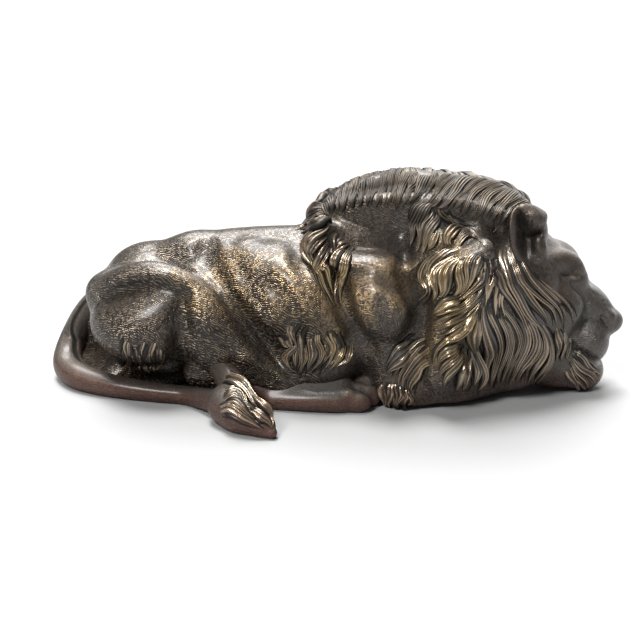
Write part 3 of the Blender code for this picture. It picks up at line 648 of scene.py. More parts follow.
# Strokes of the photograph's locks, each from root to tip: x, y, x, y and so on, in its pixels
STROKES = {
    "crest": [
        [327, 201, 328, 208, 330.5, 218],
        [335, 190, 335, 201, 334, 216],
        [344.5, 183.5, 345, 197, 343, 214],
        [356, 178, 355, 193, 352, 212],
        [368.5, 175.5, 368, 191, 363, 211],
        [378, 173, 376.5, 189, 371, 210],
        [387, 170, 383.5, 186, 376, 210],
        [395, 166, 389, 184, 380, 211],
        [403, 166, 395, 186, 386, 213],
        [411, 166.5, 401, 187, 393, 214],
        [420, 167.5, 410, 187, 399, 213],
    ],
    "crown": [
        [420.5, 168, 417, 179.5, 413, 189.5, 408, 196.5, 403.5, 203.5],
        [431, 170.5, 428.5, 178.5, 423, 189.5, 415, 198, 409.5, 202.5],
        [444.5, 171.5, 438, 178.5, 432, 186.5, 427.5, 194, 421, 203],
        [455, 172.5, 446, 179.5, 439, 186.5, 433, 194.5, 426, 205],
        [468.5, 170.5, 458, 177.5, 450.5, 185.5, 443, 194, 434, 204, 426, 208],
        [481, 173, 470.5, 179.5, 461.5, 186.5, 453.5, 195, 443, 206, 435, 211],
        [495.5, 178.5, 483, 182, 472, 186.5, 464, 195, 453, 208, 444, 214],
        [502.5, 182, 491, 185, 480, 190, 473, 197, 465, 210, 456, 218],
        [511.5, 185, 500.5, 186.5, 492, 191, 484.5, 198, 478, 211, 469, 220],
        [517.5, 188.5, 509.5, 190, 500.5, 195.5, 493.5, 203.5, 487, 215, 479, 223],
        [524, 192, 517, 195.5, 509, 201, 500.5, 208, 494, 218, 487, 227],
        [531, 196.5, 525.5, 200, 517.5, 203.5, 510, 211, 502, 222, 494, 232],
    ],
    "nest": [
        [438, 205, 441, 214, 449, 222, 458, 226],
        [446, 211, 453, 219, 463, 224, 474, 228],
    ],
    "hollow": [
        [478, 250, 481, 266, 480, 282, 476, 298],
        [486, 256, 489, 272, 487, 290, 484, 308],
        [494, 262, 496, 280, 495, 298, 494, 316],
        [503, 268, 504, 286, 504, 304, 507, 322],
    ],
    "roll": [
        [425, 201, 415, 206, 411.5, 214, 411, 222, 411.5, 229.5, 411, 237.5, 407.5, 249.5],
        [429, 202, 421, 207.5, 417, 216, 415, 226, 415, 236, 413, 244, 410, 252],
        [432.5, 203.5, 427, 210, 423, 219.5, 419.5, 228, 419, 237, 415.5, 245.5, 411.5, 253],
        [435, 206, 432.5, 214, 428.5, 222, 424.5, 230.5, 422, 238.5, 419.5, 246.5, 416.5, 252],
        [436.5, 209, 437, 217, 434, 225, 430, 233, 427.5, 240, 424.5, 249, 422, 253],
        [435, 222, 437, 229.5, 436.5, 236, 433, 243.5, 431, 247.5, 428.5, 250.5, 427, 253],
    ],
    "curl": [
        [454, 250, 453, 241.5, 457, 234, 466.5, 230, 474.5, 234, 482, 241, 483.5, 247.5],
        [457, 251.5, 457, 244, 461.5, 237.5, 469, 233.5, 476.5, 237.5, 481.5, 243, 483, 248],
        [460.5, 251.5, 461.5, 246.5, 465.5, 241, 471.5, 238.5, 476.5, 241, 479.5, 245, 481.5, 249],
        [450, 246.5, 447.5, 239, 451.5, 233.5, 457, 230, 464.5, 227.5, 471.5, 227.5, 476.5, 230],
    ],
    "cheek": [
        [446.5, 247.5, 437.5, 252.5, 428, 260, 424, 268, 423, 276.5, 426.5, 284.5, 430, 290.5, 423, 296.5,
         416, 302],
        [451.5, 249, 443, 252.5, 435, 258, 430.5, 265.5, 430, 275, 430.5, 283, 432.5, 290.5, 427.5, 298,
         416.5, 309.5],
        [458, 250.5, 448, 255, 440, 260.5, 435, 268, 433, 276.5, 433, 284.5, 433, 291.5, 430, 299.5,
         423, 308.5],
        [461.5, 253, 451.5, 258, 444, 265.5, 439, 273, 436.5, 281.5, 436.5, 289.5, 436.5, 296.5, 435, 302,
         430.5, 308.5],
        [464.5, 255, 456.5, 260, 450, 266.5, 446, 275, 444, 282, 443, 289.5, 442.5, 294.5, 440, 299.5,
         437.5, 304],
        [466.5, 255.5, 459.5, 261.5, 454, 268, 451.5, 275, 450.5, 281.5, 449.5, 288, 447.5, 293, 445, 296.5,
         441.5, 299],
        [469, 254, 463, 261.5, 461.5, 270, 462.5, 278, 461, 284.5, 457, 290.5, 453, 294.5, 449, 297,
         445, 299.5],
        [474.5, 253, 468, 260, 465.5, 268, 465.5, 276.5, 463.5, 284.5, 458, 291.5, 453, 295.5, 448, 298,
         443, 300],
        [479.5, 254, 474, 260.5, 470.5, 270, 469, 278, 465.5, 285.5, 460.5, 291.5, 456.5, 294.5, 452, 297.5,
         448, 299.5],
        [484.5, 257.5, 479.5, 263, 474.5, 272.5, 471.5, 279.5, 467, 287, 463, 292, 459, 295.5, 455.5, 298,
         452, 299.5],
        [487, 261.5, 483, 270, 479.5, 278, 474.5, 284.5, 470.5, 290.5, 466.5, 295.5, 463, 299, 459.5, 300.5,
         456.5, 302],
    ],
    "sweep": [
        [486, 278, 479.5, 287, 474, 295.5, 468, 302, 460.5, 306.5, 453, 308.5, 443, 310.5, 435.5, 314.5,
         430, 318.5],
        [486, 282, 481.5, 290.5, 475.5, 299, 469, 305.5, 461.5, 310.5, 453, 314.5, 445, 318, 436.5, 323,
         430.5, 327],
        [486, 285.5, 482, 294.5, 476.5, 302, 469.5, 308.5, 461.5, 314.5, 454, 318.5, 445.5, 323, 438, 327,
         430.5, 330.5],
        [483.5, 295.5, 479, 303, 473, 308.5, 466.5, 314.5, 459.5, 319.5, 453, 323, 446.5, 326, 439, 329.5,
         432.5, 333],
        [481.5, 301.5, 477, 308, 472, 313.5, 466.5, 319.5, 460.5, 323.5, 454.5, 327, 449, 330.5, 442.5, 333.5,
         437.5, 335.5],
        [479, 308.5, 475.5, 313.5, 471.5, 318.5, 466.5, 323.5, 462, 328, 457, 332, 451.5, 335.5, 445.5, 338,
         440.5, 339.5],
        [461.5, 299.5, 456.5, 301, 451.5, 302, 446.5, 304, 442.5, 306.5, 439, 309.5, 435.5, 312, 433, 314.5,
         431.5, 317],
    ],
    "second_fan": [
        [462.5, 339, 455.5, 339, 447.5, 340.5, 439.5, 346.5, 434.5, 354.5, 433, 363],
        [462.5, 342, 454.5, 345.5, 445.5, 350.5, 439.5, 358.5, 438, 365, 440, 373],
        [463.5, 343.5, 457.5, 350.5, 450.5, 357.5, 444.5, 365, 441, 373, 439.5, 381],
        [466, 345.5, 461.5, 354.5, 456.5, 363, 449.5, 373, 445.5, 384, 445.5, 395],
        [468.5, 346.5, 464.5, 358.5, 460, 369, 457.5, 379, 455.5, 389, 454.5, 397],
        [470.5, 347.5, 470.5, 358.5, 468.5, 369, 465.5, 379, 463.5, 387, 461.5, 394],
        [472, 345.5, 473.5, 357.5, 475.5, 367, 476.5, 374, 474.5, 382, 471.5, 389],
        [473.5, 342.5, 478, 354.5, 481, 366, 482, 376, 480, 384, 477.5, 392],
    ],
    "fan": [
        [482.5, 304, 479.5, 312, 478, 320, 476.5, 326.5, 474.5, 332.5, 474, 337.5, 473.5, 346.5, 476.5, 357.5,
         479, 368, 478, 379, 474.5, 389],
        [484, 306, 483, 317, 485.5, 327.5, 489.5, 337.5, 494, 346.5, 495.2, 353, 492, 360.5, 489, 368,
         488, 376, 488.5, 384, 488, 389],
        [487.5, 307, 488.5, 317, 493, 327.5, 498, 339.5, 498.5, 351.5, 495.5, 359.2, 494, 363, 492, 371,
         491, 378, 490.5, 384, 490, 388],
        [490, 306, 493, 315, 498, 325.5, 502, 336.5, 503, 347.5, 500.5, 359.5, 498, 367, 496, 373, 495, 378,
         494, 383, 493, 387],
        [497, 309, 505, 319, 510, 328.5, 512, 339.5, 510, 350.5, 506, 362.2, 503, 369, 501, 375, 500, 380,
         499, 384, 498, 387],
        [502, 308, 510, 319, 516, 329.5, 519, 339.5, 517, 350.5, 511, 362.2, 509, 369, 507, 375, 505.5, 380,
         504, 384, 503, 387],
        [506, 305, 516, 314, 522.5, 324.5, 526.5, 336.5, 524.5, 348.5, 518, 360.5, 515, 368, 513, 374,
         511, 379, 509.5, 384, 508.5, 387],
        [510, 301, 521.5, 311, 529.5, 322.5, 533.5, 334.5, 532.5, 347.5, 524.5, 360.5, 520.5, 368, 518.5, 375,
         517, 380, 515.5, 384, 514.5, 387],
    ],
    "ruff_low": [
        [531.5, 318, 535.5, 328.5, 538.5, 339.5, 537.5, 351.5, 530.5, 363, 526.5, 374, 523.5, 385],
        [533.5, 320, 540.5, 330.5, 544.5, 341.5, 544.5, 352.5, 537.5, 364, 531.5, 375, 528.5, 386],
        [536.5, 321.5, 544.5, 332.5, 548.5, 343.5, 548.5, 355.5, 542.5, 367, 535.5, 377, 531.5, 386],
        [540.5, 320, 548.5, 331.5, 552, 344.5, 551, 357.5, 546.5, 368, 540.5, 377, 534.5, 386],
    ],
    "ruff": [
        [500, 258, 502.5, 284.5, 510.5, 298.5, 518, 310.5, 523.5, 321.5, 526.5, 334, 526, 343.5],
        [504, 256, 508, 283, 516, 295.5, 523.5, 306.5, 531.5, 316, 540, 325.5, 542.5, 335.5],
        [509, 254, 514.5, 279, 521.5, 290, 529.5, 300.5, 538.5, 309.5, 545, 319, 548, 331],
        [515, 254, 522.5, 278, 531.5, 288.5, 541, 298.5, 550, 306.5, 556, 317.5, 558.5, 331],
        [521, 258, 529.5, 278, 538.5, 288.5, 548, 298.5, 557, 308, 561.5, 320.5, 561.5, 336.5],
        [527.5, 269, 534.5, 280, 544, 289.5, 553.5, 298.5, 561.5, 306.5, 567, 319, 566, 339.5],
        [531.5, 271, 539, 280, 548.5, 288, 558.5, 296.5, 566.5, 305, 571.5, 317.5, 570, 339.5],
    ],
    "ruff_front": [
        [557.5, 327, 558.5, 335.5, 557.5, 345, 556, 354.5, 555, 363],
        [561.5, 331, 561.5, 341, 561, 349, 560.5, 357.5, 560.5, 364],
        [566, 335.5, 565.5, 343.5, 564.5, 352, 564, 358.5, 564.5, 365.5],
        [570, 335.5, 569, 343.5, 568.5, 352, 568, 358.5, 569, 364],
    ],
    "beard": [
        [574.5, 347.5, 582.5, 353, 589, 358.5, 596, 367, 600, 374.5],
        [572.5, 354.5, 581, 358.5, 588, 365.5, 594.5, 372.5, 599.5, 378.5],
        [571.5, 358.5, 577, 364, 583.5, 371, 590.5, 378, 596, 384.5],
        [568.5, 363, 572.5, 369.5, 578, 376.5, 583.5, 383.5, 588, 390],
        [567, 365.5, 570, 373.5, 575.5, 382, 579.5, 389, 582.5, 395.5],
    ],
    "nape": [
        [324.5, 205, 318.5, 206, 312, 209.5, 305.5, 213, 300, 218.5],
        [325.5, 208, 319, 211.5, 313, 216, 305.5, 220, 297.5, 224],
        [326.5, 212, 320.5, 218, 313.5, 223.5, 306.5, 228, 298.5, 231.5],
        [327, 217, 321.5, 223.5, 315, 229, 307, 233, 299, 234.5],
    ],
    "shoulder": [
        [327, 210.5, 330, 218, 323, 226.5, 311, 237, 306.5, 250.5, 312.8, 263.8, 318.5, 273.5, 320.5, 284.5,
         326, 295.5, 332.5, 306],
        [328.5, 232, 321.5, 235.5, 315, 241, 311, 249, 310.5, 257.5, 312, 265.5],
        [330.5, 241, 325.5, 245.5, 320.5, 253, 317.5, 260, 316, 266.5, 315, 267.2, 318.5, 273.5, 320.5, 284.5,
         326, 295.5, 332.5, 306],
        [331, 245, 328, 251.5, 324, 259.5, 320.5, 266.5, 319, 273, 321.2, 272, 324, 276, 325, 286.5,
         330.5, 297.5, 337, 308.5],
        [330.5, 234.5, 332.5, 242.5, 330.5, 250.5, 332, 258.5, 332, 266.5, 329.5, 274.5],
        [342.5, 236, 336, 238.5, 332.5, 245.5, 333.5, 253.5, 335, 261.5, 333, 266, 336, 273.5, 332.5, 284.5,
         327, 293, 326, 302],
        [349.5, 243.5, 343, 245, 337.5, 249.5, 336.5, 257.5, 336, 265.5, 334.5, 273.5],
        [352.5, 245.5, 346.5, 249.5, 341.5, 257, 340, 264, 339, 271, 338.8, 271.2, 339, 276, 334.5, 286.5,
         332.5, 297.5, 337, 310.5],
        [356, 248, 351, 253.5, 348, 261, 347, 267, 344.5, 273.5, 344.5, 275.2, 342.5, 282.5, 340, 293,
         341, 304, 346.5, 312.5],
    ],
    "belly": [
        [279.5, 325.5, 282.5, 332.5, 286.5, 339.5, 291, 345, 288.8, 348, 282.5, 354.5, 285.5, 364, 290.5, 371,
         297.5, 377],
        [295.5, 325.5, 291.5, 331.5, 293, 338, 297, 345, 297.5, 349.2, 291.5, 355, 290.5, 364, 293, 370.5,
         297, 374],
        [304.5, 325, 299, 331, 295, 336, 297.5, 345, 299.8, 351, 300.5, 356.5, 299, 362.5, 296.5, 367,
         295, 370.5],
        [307.5, 325.5, 302, 332.5, 300.5, 339.5, 303, 348.5, 303.5, 354.8, 303, 360, 300.5, 365.5, 298.5, 369,
         299, 373.5],
        [312.5, 325.5, 307.5, 332.5, 304, 339.5, 305, 348.5, 306.2, 355.5, 307.5, 360, 306, 367, 304.5, 371,
         303.5, 375.5],
        [319, 331, 315.5, 335, 314.5, 342, 317, 349, 318.5, 355.5, 317.5, 361, 314, 367, 310, 371,
         307.5, 375.5],
        [322, 329.5, 320.5, 335, 322.5, 342, 325.5, 347.5, 323.2, 354, 317.5, 361, 314, 367, 310, 371,
         307.5, 375.5],
        [325, 328.5, 326, 334.5, 329.5, 341, 331, 347.5, 328.5, 353.8, 327, 358, 322.5, 364, 317.5, 369,
         313, 373.5],
        [330, 329.5, 332, 335, 336, 342, 336.5, 348.5, 333.5, 354.5, 331, 360, 326.5, 364.5, 322.5, 369.5,
         319, 374],
        [336, 330, 337.5, 336.5, 341, 343.5, 341.5, 350, 338.5, 356.8, 333.5, 361, 330, 364.5, 327, 369,
         325, 373.5],
        [346, 332.5, 347.5, 339, 350, 345.5, 348.5, 353, 347.2, 357.5, 345.5, 360, 339.5, 363, 334.5, 367,
         330, 371],
    ],
    "buttock": [
        [124, 336, 121.5, 347, 124, 357, 121.5, 366, 127, 373],
        [131, 338, 129, 350, 132.5, 361, 131, 370, 137, 378],
        [139, 340, 137.5, 352, 141, 363, 140, 371, 146, 378],
        [147, 341, 144.5, 352, 148, 363, 148, 370, 153, 377],
        [155, 342, 152, 353, 154.5, 363, 153, 370, 156, 375],
        [163, 344, 162.5, 354, 160, 363, 158, 369, 158, 374],
    ],
    "elbow": [
        [428, 338.5, 417, 343, 406, 351.5, 397.5, 362.5, 393, 375.5],
        [430, 344, 419.5, 351.5, 408.5, 360.5, 398.5, 370, 395.5, 383],
        [431, 351.5, 421.5, 359, 412.5, 369, 406, 380, 406, 393],
        [431, 362.5, 426, 369, 419.5, 377.5, 415, 388.5, 417, 399.5],
        [412.5, 338.5, 402, 344, 392, 351.5, 384.5, 361.5, 376, 369],
        [421.5, 336.5, 410.5, 341, 399.5, 349.5, 391, 360.5, 385.5, 373.5],
    ],
    "paw_fringe": [
        [385.5, 384, 383.5, 393, 384.5, 401.5, 386.5, 408],
        [393, 383, 393, 393, 392, 401.5, 393, 409],
        [401, 385.5, 403, 395, 401, 402.5, 401, 409],
        [408.5, 388.5, 411.5, 397, 410.5, 403.5, 408.5, 408],
    ],
    "tuft": [
        [225.5, 370.5, 232, 376.5, 239.5, 383, 247, 389.5, 253.5, 396, 260, 402, 266.5, 409],
        [221, 374, 227.5, 380.5, 235.5, 386, 244, 392.5, 250.5, 399, 257, 405.5, 264, 412],
        [219, 388, 225.5, 386, 233, 386, 241, 390.5, 246, 397, 250.5, 403.5, 256, 409],
        [221, 393.5, 227.5, 391.5, 235.5, 391.5, 241.5, 395, 245.5, 401.5, 249, 409, 255, 416],
        [221.5, 401, 227.5, 397.5, 234, 397.5, 239.5, 402, 243.5, 409, 248.5, 416, 255, 422.5],
        [221, 406, 227, 403, 233, 403.5, 238.5, 408, 242.5, 414.5, 249, 420, 256, 424.5],
        [249.5, 394.5, 254, 401, 259.5, 406.5, 264.5, 412.5, 269, 419, 272.5, 426, 274, 431],
        [255, 393.5, 259.5, 398.5, 264.5, 403.5, 269, 410, 272.5, 417, 275.5, 424, 276, 430.5],
        [251, 412.5, 255.5, 415.5, 260, 419.5, 264.5, 422.5, 269, 426, 272.5, 429, 276, 432],
        [221.5, 411, 228, 410.5, 234.5, 412.5, 241, 416, 248.5, 420.5, 257.5, 426, 267, 431],
    ],
}

# Each comb: how many strands it has, their height, how many ridges each has, their sway, how many fine
# strands lie under them, how far back their roots are tucked, and how late along its stroke one may start
Comb = namedtuple("Comb", "count height ridges sway finer tuck late", defaults=(2.0, 0.14))
COMBS = {
    "crest": Comb(15, 0.45, 4, 0.35, 0, tuck=5.0),
    "crown": Comb(17, 0.5, 4, 0.4, 0, tuck=5.0),
    "roll": Comb(6, 0.7, 3, 0.1, 0),
    "curl": Comb(5, 0.7, 3, 0.1, 0),
    "nest": Comb(6, 0.5, 1, 0.3, 6),
    "cheek": Comb(8, 0.65, 3, 0.25, 6, tuck=5.0),
    "sweep": Comb(7, 0.7, 3, 0.25, 6),
    "hollow": Comb(7, 0.3, 1, 0.4, 10),
    "second_fan": Comb(8, 0.7, 3, 0.25, 6),
    "fan": Comb(9, 0.7, 3, 0.3, 8),
    "ruff_low": Comb(4, 0.75, 3, 0.2, 4),
    "ruff": Comb(7, 0.7, 3, 0.2, 8, tuck=5.0),
    "ruff_front": Comb(3, 0.7, 3, 0.1, 0),
    "beard": Comb(7, 0.5, 2, 0.5, 5),
    "nape": Comb(5, 0.7, 3, 0.25, 6),
    "shoulder": Comb(13, 0.8, 2, 0.3, 8),
    "belly": Comb(14, 0.6, 3, 0.4, 14, late=0.3),
    "buttock": Comb(11, 0.3, 2, 0.6, 12, late=0.3),
    "elbow": Comb(9, 0.5, 3, 0.35, 9, late=0.3),
    "paw_fringe": Comb(6, 0.4, 2, 0.4, 6),
    "tuft": Comb(8, 0.7, 3, 0.3, 6),
}
FINER = Comb(0, 0.5, 1, 0.3, 0, tuck=1.0)  # the fine strands under every comb, whatever their number
UNDERSIDE = 3  # how many points of a strand's profile lie under the flesh
NARROWEST = 0.35  # half the width of the thinnest strands, before each draws its own size


def between(paths, count):
    """Strokes at even shares of the way across a row of strokes, each a mix of its two neighbours."""
    place = np.linspace(0, len(paths) - 1, count)
    i = np.minimum(place.astype(int), len(paths) - 2)
    return paths[i] + (paths[i + 1] - paths[i]) * (place - i)[:, None, None]


def combed(m, name, count, rows, loose):
    """The paths on the flesh of one comb's strands, gathered in twos towards their tips.

    loose is how far, in pixels of the photograph, a strand may stray from its stroke: loose t**1.5 towards
    its tip, 0.7 loose sin(2 pi t) on the way, and 0.5 loose (1 - t) towards its root. A bunch draws its
    strands together by 0.3 t**2.5. A strand starts after its stroke's root and ends before its tip.
    """
    places, soonest_end = 24, 0.86
    strokes = np.stack([curve_through(np.reshape(stroke, (-1, 2)), places) for stroke in STROKES[name]])
    paths = between(strokes, count)
    t = np.linspace(0, 1, places)[:, None]
    stray = CHANCE.uniform(-1, 1, (3, count, 1, 2)) * loose
    paths = paths + stray[0] * t**1.5 + 0.7 * stray[1] * np.sin(2 * math.pi * t) + 0.5 * stray[2] * (1 - t)
    bunch = np.arange(count) // 2
    middle = np.stack([paths[bunch == b].mean(0) for b in range(bunch[-1] + 1)])
    paths = paths + (middle[bunch] - paths) * 0.3 * t**2.5
    start = CHANCE.uniform(0, COMBS[name].late, count)[:, None]
    end = CHANCE.uniform(soonest_end, 1.0, count)[:, None]
    along = (start + (end - start) * t[:, 0]) * (places - 1)
    i = np.minimum(along.astype(int), places - 2)
    each = np.arange(count)[:, None]
    paths = paths[each, i] + (paths[each, i + 1] - paths[each, i]) * (along - i)[..., None]
    return curve_through(laid(m, paths), rows)


def locks(name, m, path, side, comb, material, around, widest, buried=0.0):
    """Strands of hair that lie on the flesh along paths (strand, row, 3), side by side, roots tucked back.

    Each is a profile carried along its path. Across it, s from -1 to 1, its height is a leaning dome
    (1 - s**2)**0.5 (1 + lean s), cut into ridges, each (1 - |2 f - 1|**1.5) over its share f of the width.
    Half its width is 0.62 of the way to its neighbours, and along it, t from 0 to 1, that swells and tapers:
    (0.7 + 0.35 sin(pi t**0.9)) (1 - t**3.5) + 0.07. Every third strand lies highest, which makes rounded
    locks of three. buried, 0 to 1, is how much lower and plainer strands are that lie under others.
    """
    count, rows = path.shape[:2]
    if side == FAR:
        path = m.settle(path * MIRROR, 4)
    back = m.settle(path[:, :1] - comb.tuck * unit_rows(path[:, 1:2] - path[:, :1]), 4)
    path = curve_through(np.concatenate([back, path], 1), rows)
    t = np.linspace(0, 1, rows)
    normal = unit_rows(eased(unit_rows(m.slope(path, 1.5)[0]), 6))
    run = unit_rows(np.gradient(path, axis=-2))
    across = unit_rows(np.cross(run, normal))
    normal = np.cross(across, run)

    # The middle line, swaying from side to side, and the width and height along it
    gap = np.abs(((path[1:] - path[:-1]) * across[:-1]).sum(-1))
    gap = (np.concatenate([gap[:1], gap]) + np.concatenate([gap, gap[-1:]])) / 2
    phase = CHANCE.uniform(0, 1, count)[:, None]
    swing = comb.sway * np.sin(2 * math.pi * (1.15 * t + phase)) * np.sin(math.pi * t) ** 0.7
    centre = path + across * swing[..., None]
    size = CHANCE.uniform(0.8, 1.25, count)[:, None]
    breadth = np.clip(0.62 * eased(gap[..., None], 6)[..., 0], NARROWEST, widest) * size
    breadth = breadth * ((0.7 + 0.35 * np.sin(math.pi * t**0.9)) * (1 - t**3.5) + 0.07)
    tall = CHANCE.uniform(0.75, 1.3, count)[:, None]
    rise = comb.height * 1.3 * breadth * tall * soft_step(t, -0.1, 0.4) + 0.05
    third = np.abs(np.sin(math.pi * (np.arange(count)[:, None] + 0.5) / 3))
    lift = 1.1 * comb.height * third * (1 - buried)
    sunk = (0.4 + lift) * np.clip(1 - t / 0.2, 0, 1) ** 1.5 + lift * t**4
    centre = centre + normal * (lift - sunk)[..., None]

    # The profile: a ridged dome on top, and a few points under the flesh
    top = around - UNDERSIDE
    s = np.linspace(-1, 1, top)
    twist = 0.25 * np.sin(2 * math.pi * (0.7 * t + phase))[..., None]
    turn = comb.ridges * (s + 1) / 2 + twist * (comb.ridges > 1)
    uneven = 0.8 + 0.2 * np.sin(2.4 * np.floor(turn) + 9 * phase[..., None])
    ridge = (1 - np.abs(2 * (turn % 1) - 1) ** 1.5) * uneven
    lean = CHANCE.uniform(0.1, 0.6, count)[:, None, None]
    lean = lean * CHANCE.choice([-1, 1], count, p=[0.3, 0.7])[:, None, None]
    dome = np.clip(1 - s**2, 0, 1) ** 0.5 * (1 + lean * s)
    depth = (0.7 if comb.ridges > 1 else 0.2) * (1 - buried)
    profile = dome * (1 - depth + depth * ridge)
    s_under = np.linspace(1, -1, UNDERSIDE + 2)[1:-1]
    out_under = breadth[..., None] * s_under
    up_under = -1.3 - 0 * out_under - 0.4 * (1 - s_under**2)
    up = np.concatenate([rise[..., None] * profile, up_under], -1)[..., None]
    out = np.concatenate([breadth[..., None] * s, out_under], -1)

    rings = centre[..., None, :] + across[..., None, :] * out[..., None] + normal[..., None, :] * up
    first = centre[:, 0] - normal[:, 0] * 0.8 - run[:, 0] * 0.5
    last = centre[:, -1] - normal[:, -1] * 0.3 + run[:, -1] * 0.8
    hidden = np.zeros((count, rows, UNDERSIDE))
    crest = np.concatenate([profile, hidden], -1) * (1 - buried)
    # shelter, painted as shade by the finish: the lower sides of each strand, buried strands more, and the
    # points under the flesh
    shelter = np.concatenate([1 - crest[..., :top] ** 0.6, hidden + 1], -1)
    number = np.arange(count)[:, None, None] * 7.3 + 0 * crest  # gives each strand a grain of its own
    flow = np.stack([t[:, None] * 25 + number, out, number], -1)
    for points in (rings, first, last):
        points[..., 2] = np.maximum(points[..., 2], GROUND)
    return sleeves(name, rings, first, last, material, flow=flow, crest=crest, shelter=shelter)


# Materials


class Wire:
    """A shader socket that does sums: +, -, * and / on it add Math nodes."""

    def __init__(self, finish, socket):
        self.finish, self.socket = finish, socket

    def __add__(self, other):
        return self.finish.sum_with("ADD", self, other)

    def __sub__(self, other):
        return self.finish.sum_with("SUBTRACT", self, other)

    def __rsub__(self, other):
        return self.finish.sum_with("SUBTRACT", other, self)

    def __mul__(self, other):
        return self.finish.sum_with("MULTIPLY", self, other)

    def __rmul__(self, other):
        return self.finish.sum_with("MULTIPLY", other, self)

    def __truediv__(self, other):
        return self.finish.sum_with("DIVIDE", self, other)

    def step(self, low, high):
        """0 below low, 1 above high, smooth between."""
        settings = {"interpolation_type": "SMOOTHSTEP"}
        inputs = {"Value": self, "From Min": low, "From Max": high}
        return self.finish.add("ShaderNodeMapRange", settings, inputs)


class Finish:
    """A material's node tree, and the one way nodes get into it."""

    def __init__(self, name):
        self.material = bpy.data.materials.new(name)
        self.material.use_nodes = True
        self.nodes, self.links = self.material.node_tree.nodes, self.material.node_tree.links
        self.shader = self.nodes["Principled BSDF"]

    def add(self, kind, settings, inputs, output=0):
        """A node with these settings, and values or links for its sockets. Gives one of its outputs."""
        node = self.nodes.new(kind)
        for key, value in settings.items():
            setattr(node, key, value)
        self.feed(node, inputs)
        return Wire(self, node.outputs[output])

    def feed(self, node, inputs):
        """Sets or links sockets of a node."""
        for key, value in inputs.items():
            if isinstance(value, Wire):
                self.links.new(value.socket, node.inputs[key])
            else:
                node.inputs[key].default_value = value

    def sum_with(self, kind, a, b=0.0):
        """One Math node of that kind."""
        return self.add("ShaderNodeMath", {"operation": kind}, {0: a, 1: b})

    def mix(self, share, a, b):
        """Colour a with a share of colour b."""
        settings = {"data_type": "RGBA", "blend_type": "MIX", "clamp_factor": True}
        return self.add("ShaderNodeMix", settings, {0: share, 6: a, 7: b}, 2)

    def attribute(self, key, output="Fac"):
        """A value, or with Vector a vector, that the mesh has at each place."""
        return self.add("ShaderNodeAttribute", {"attribute_name": key}, {}, output)

    def noise(self, vector, scale, detail=3.0, rough=0.55):
        """Cloudy noise, 0 to 1."""
        inputs = {"Vector": vector, "Scale": scale, "Detail": detail, "Roughness": rough}
        return self.add("ShaderNodeTexNoise", {}, inputs)

    def drawn_out(self, vector, scale):
        """A vector with each of its three parts scaled."""
        return self.add("ShaderNodeMapping", {}, {"Vector": vector, "Scale": scale})


def rgb(r, g, b):
    """A colour as sockets take it."""
    return (r, g, b, 1)


BROWN, GREY = rgb(0.064, 0.050, 0.042), rgb(0.088, 0.082, 0.076)  # the patina's two tones
UMBER = rgb(0.090, 0.054, 0.038)  # blotches in it
GROUND_SHADE_AND_REFLECTION = rgb(0.100, 0.046, 0.034)  # painted shade with a warm painted reflection on the sides near the ground
SOOT = rgb(0.028, 0.024, 0.021)  # the hair on top of the mane
SHELTER_SHADE = rgb(0.014, 0.015, 0.012)  # painted shade in sheltered places
GROOVE_SHADE = rgb(0.012, 0.011, 0.009)  # painted shade between strokes and between strands
COAT_RIDGE_HIGHLIGHT, HAIR_RIDGE_HIGHLIGHT = rgb(0.250, 0.190, 0.130), rgb(0.400, 0.300, 0.200)  # painted highlights on the tops of strokes and strands
COAT_GOLD, HAIR_GOLD = rgb(0.38, 0.26, 0.13), rgb(0.38, 0.28, 0.15)  # where hands rub


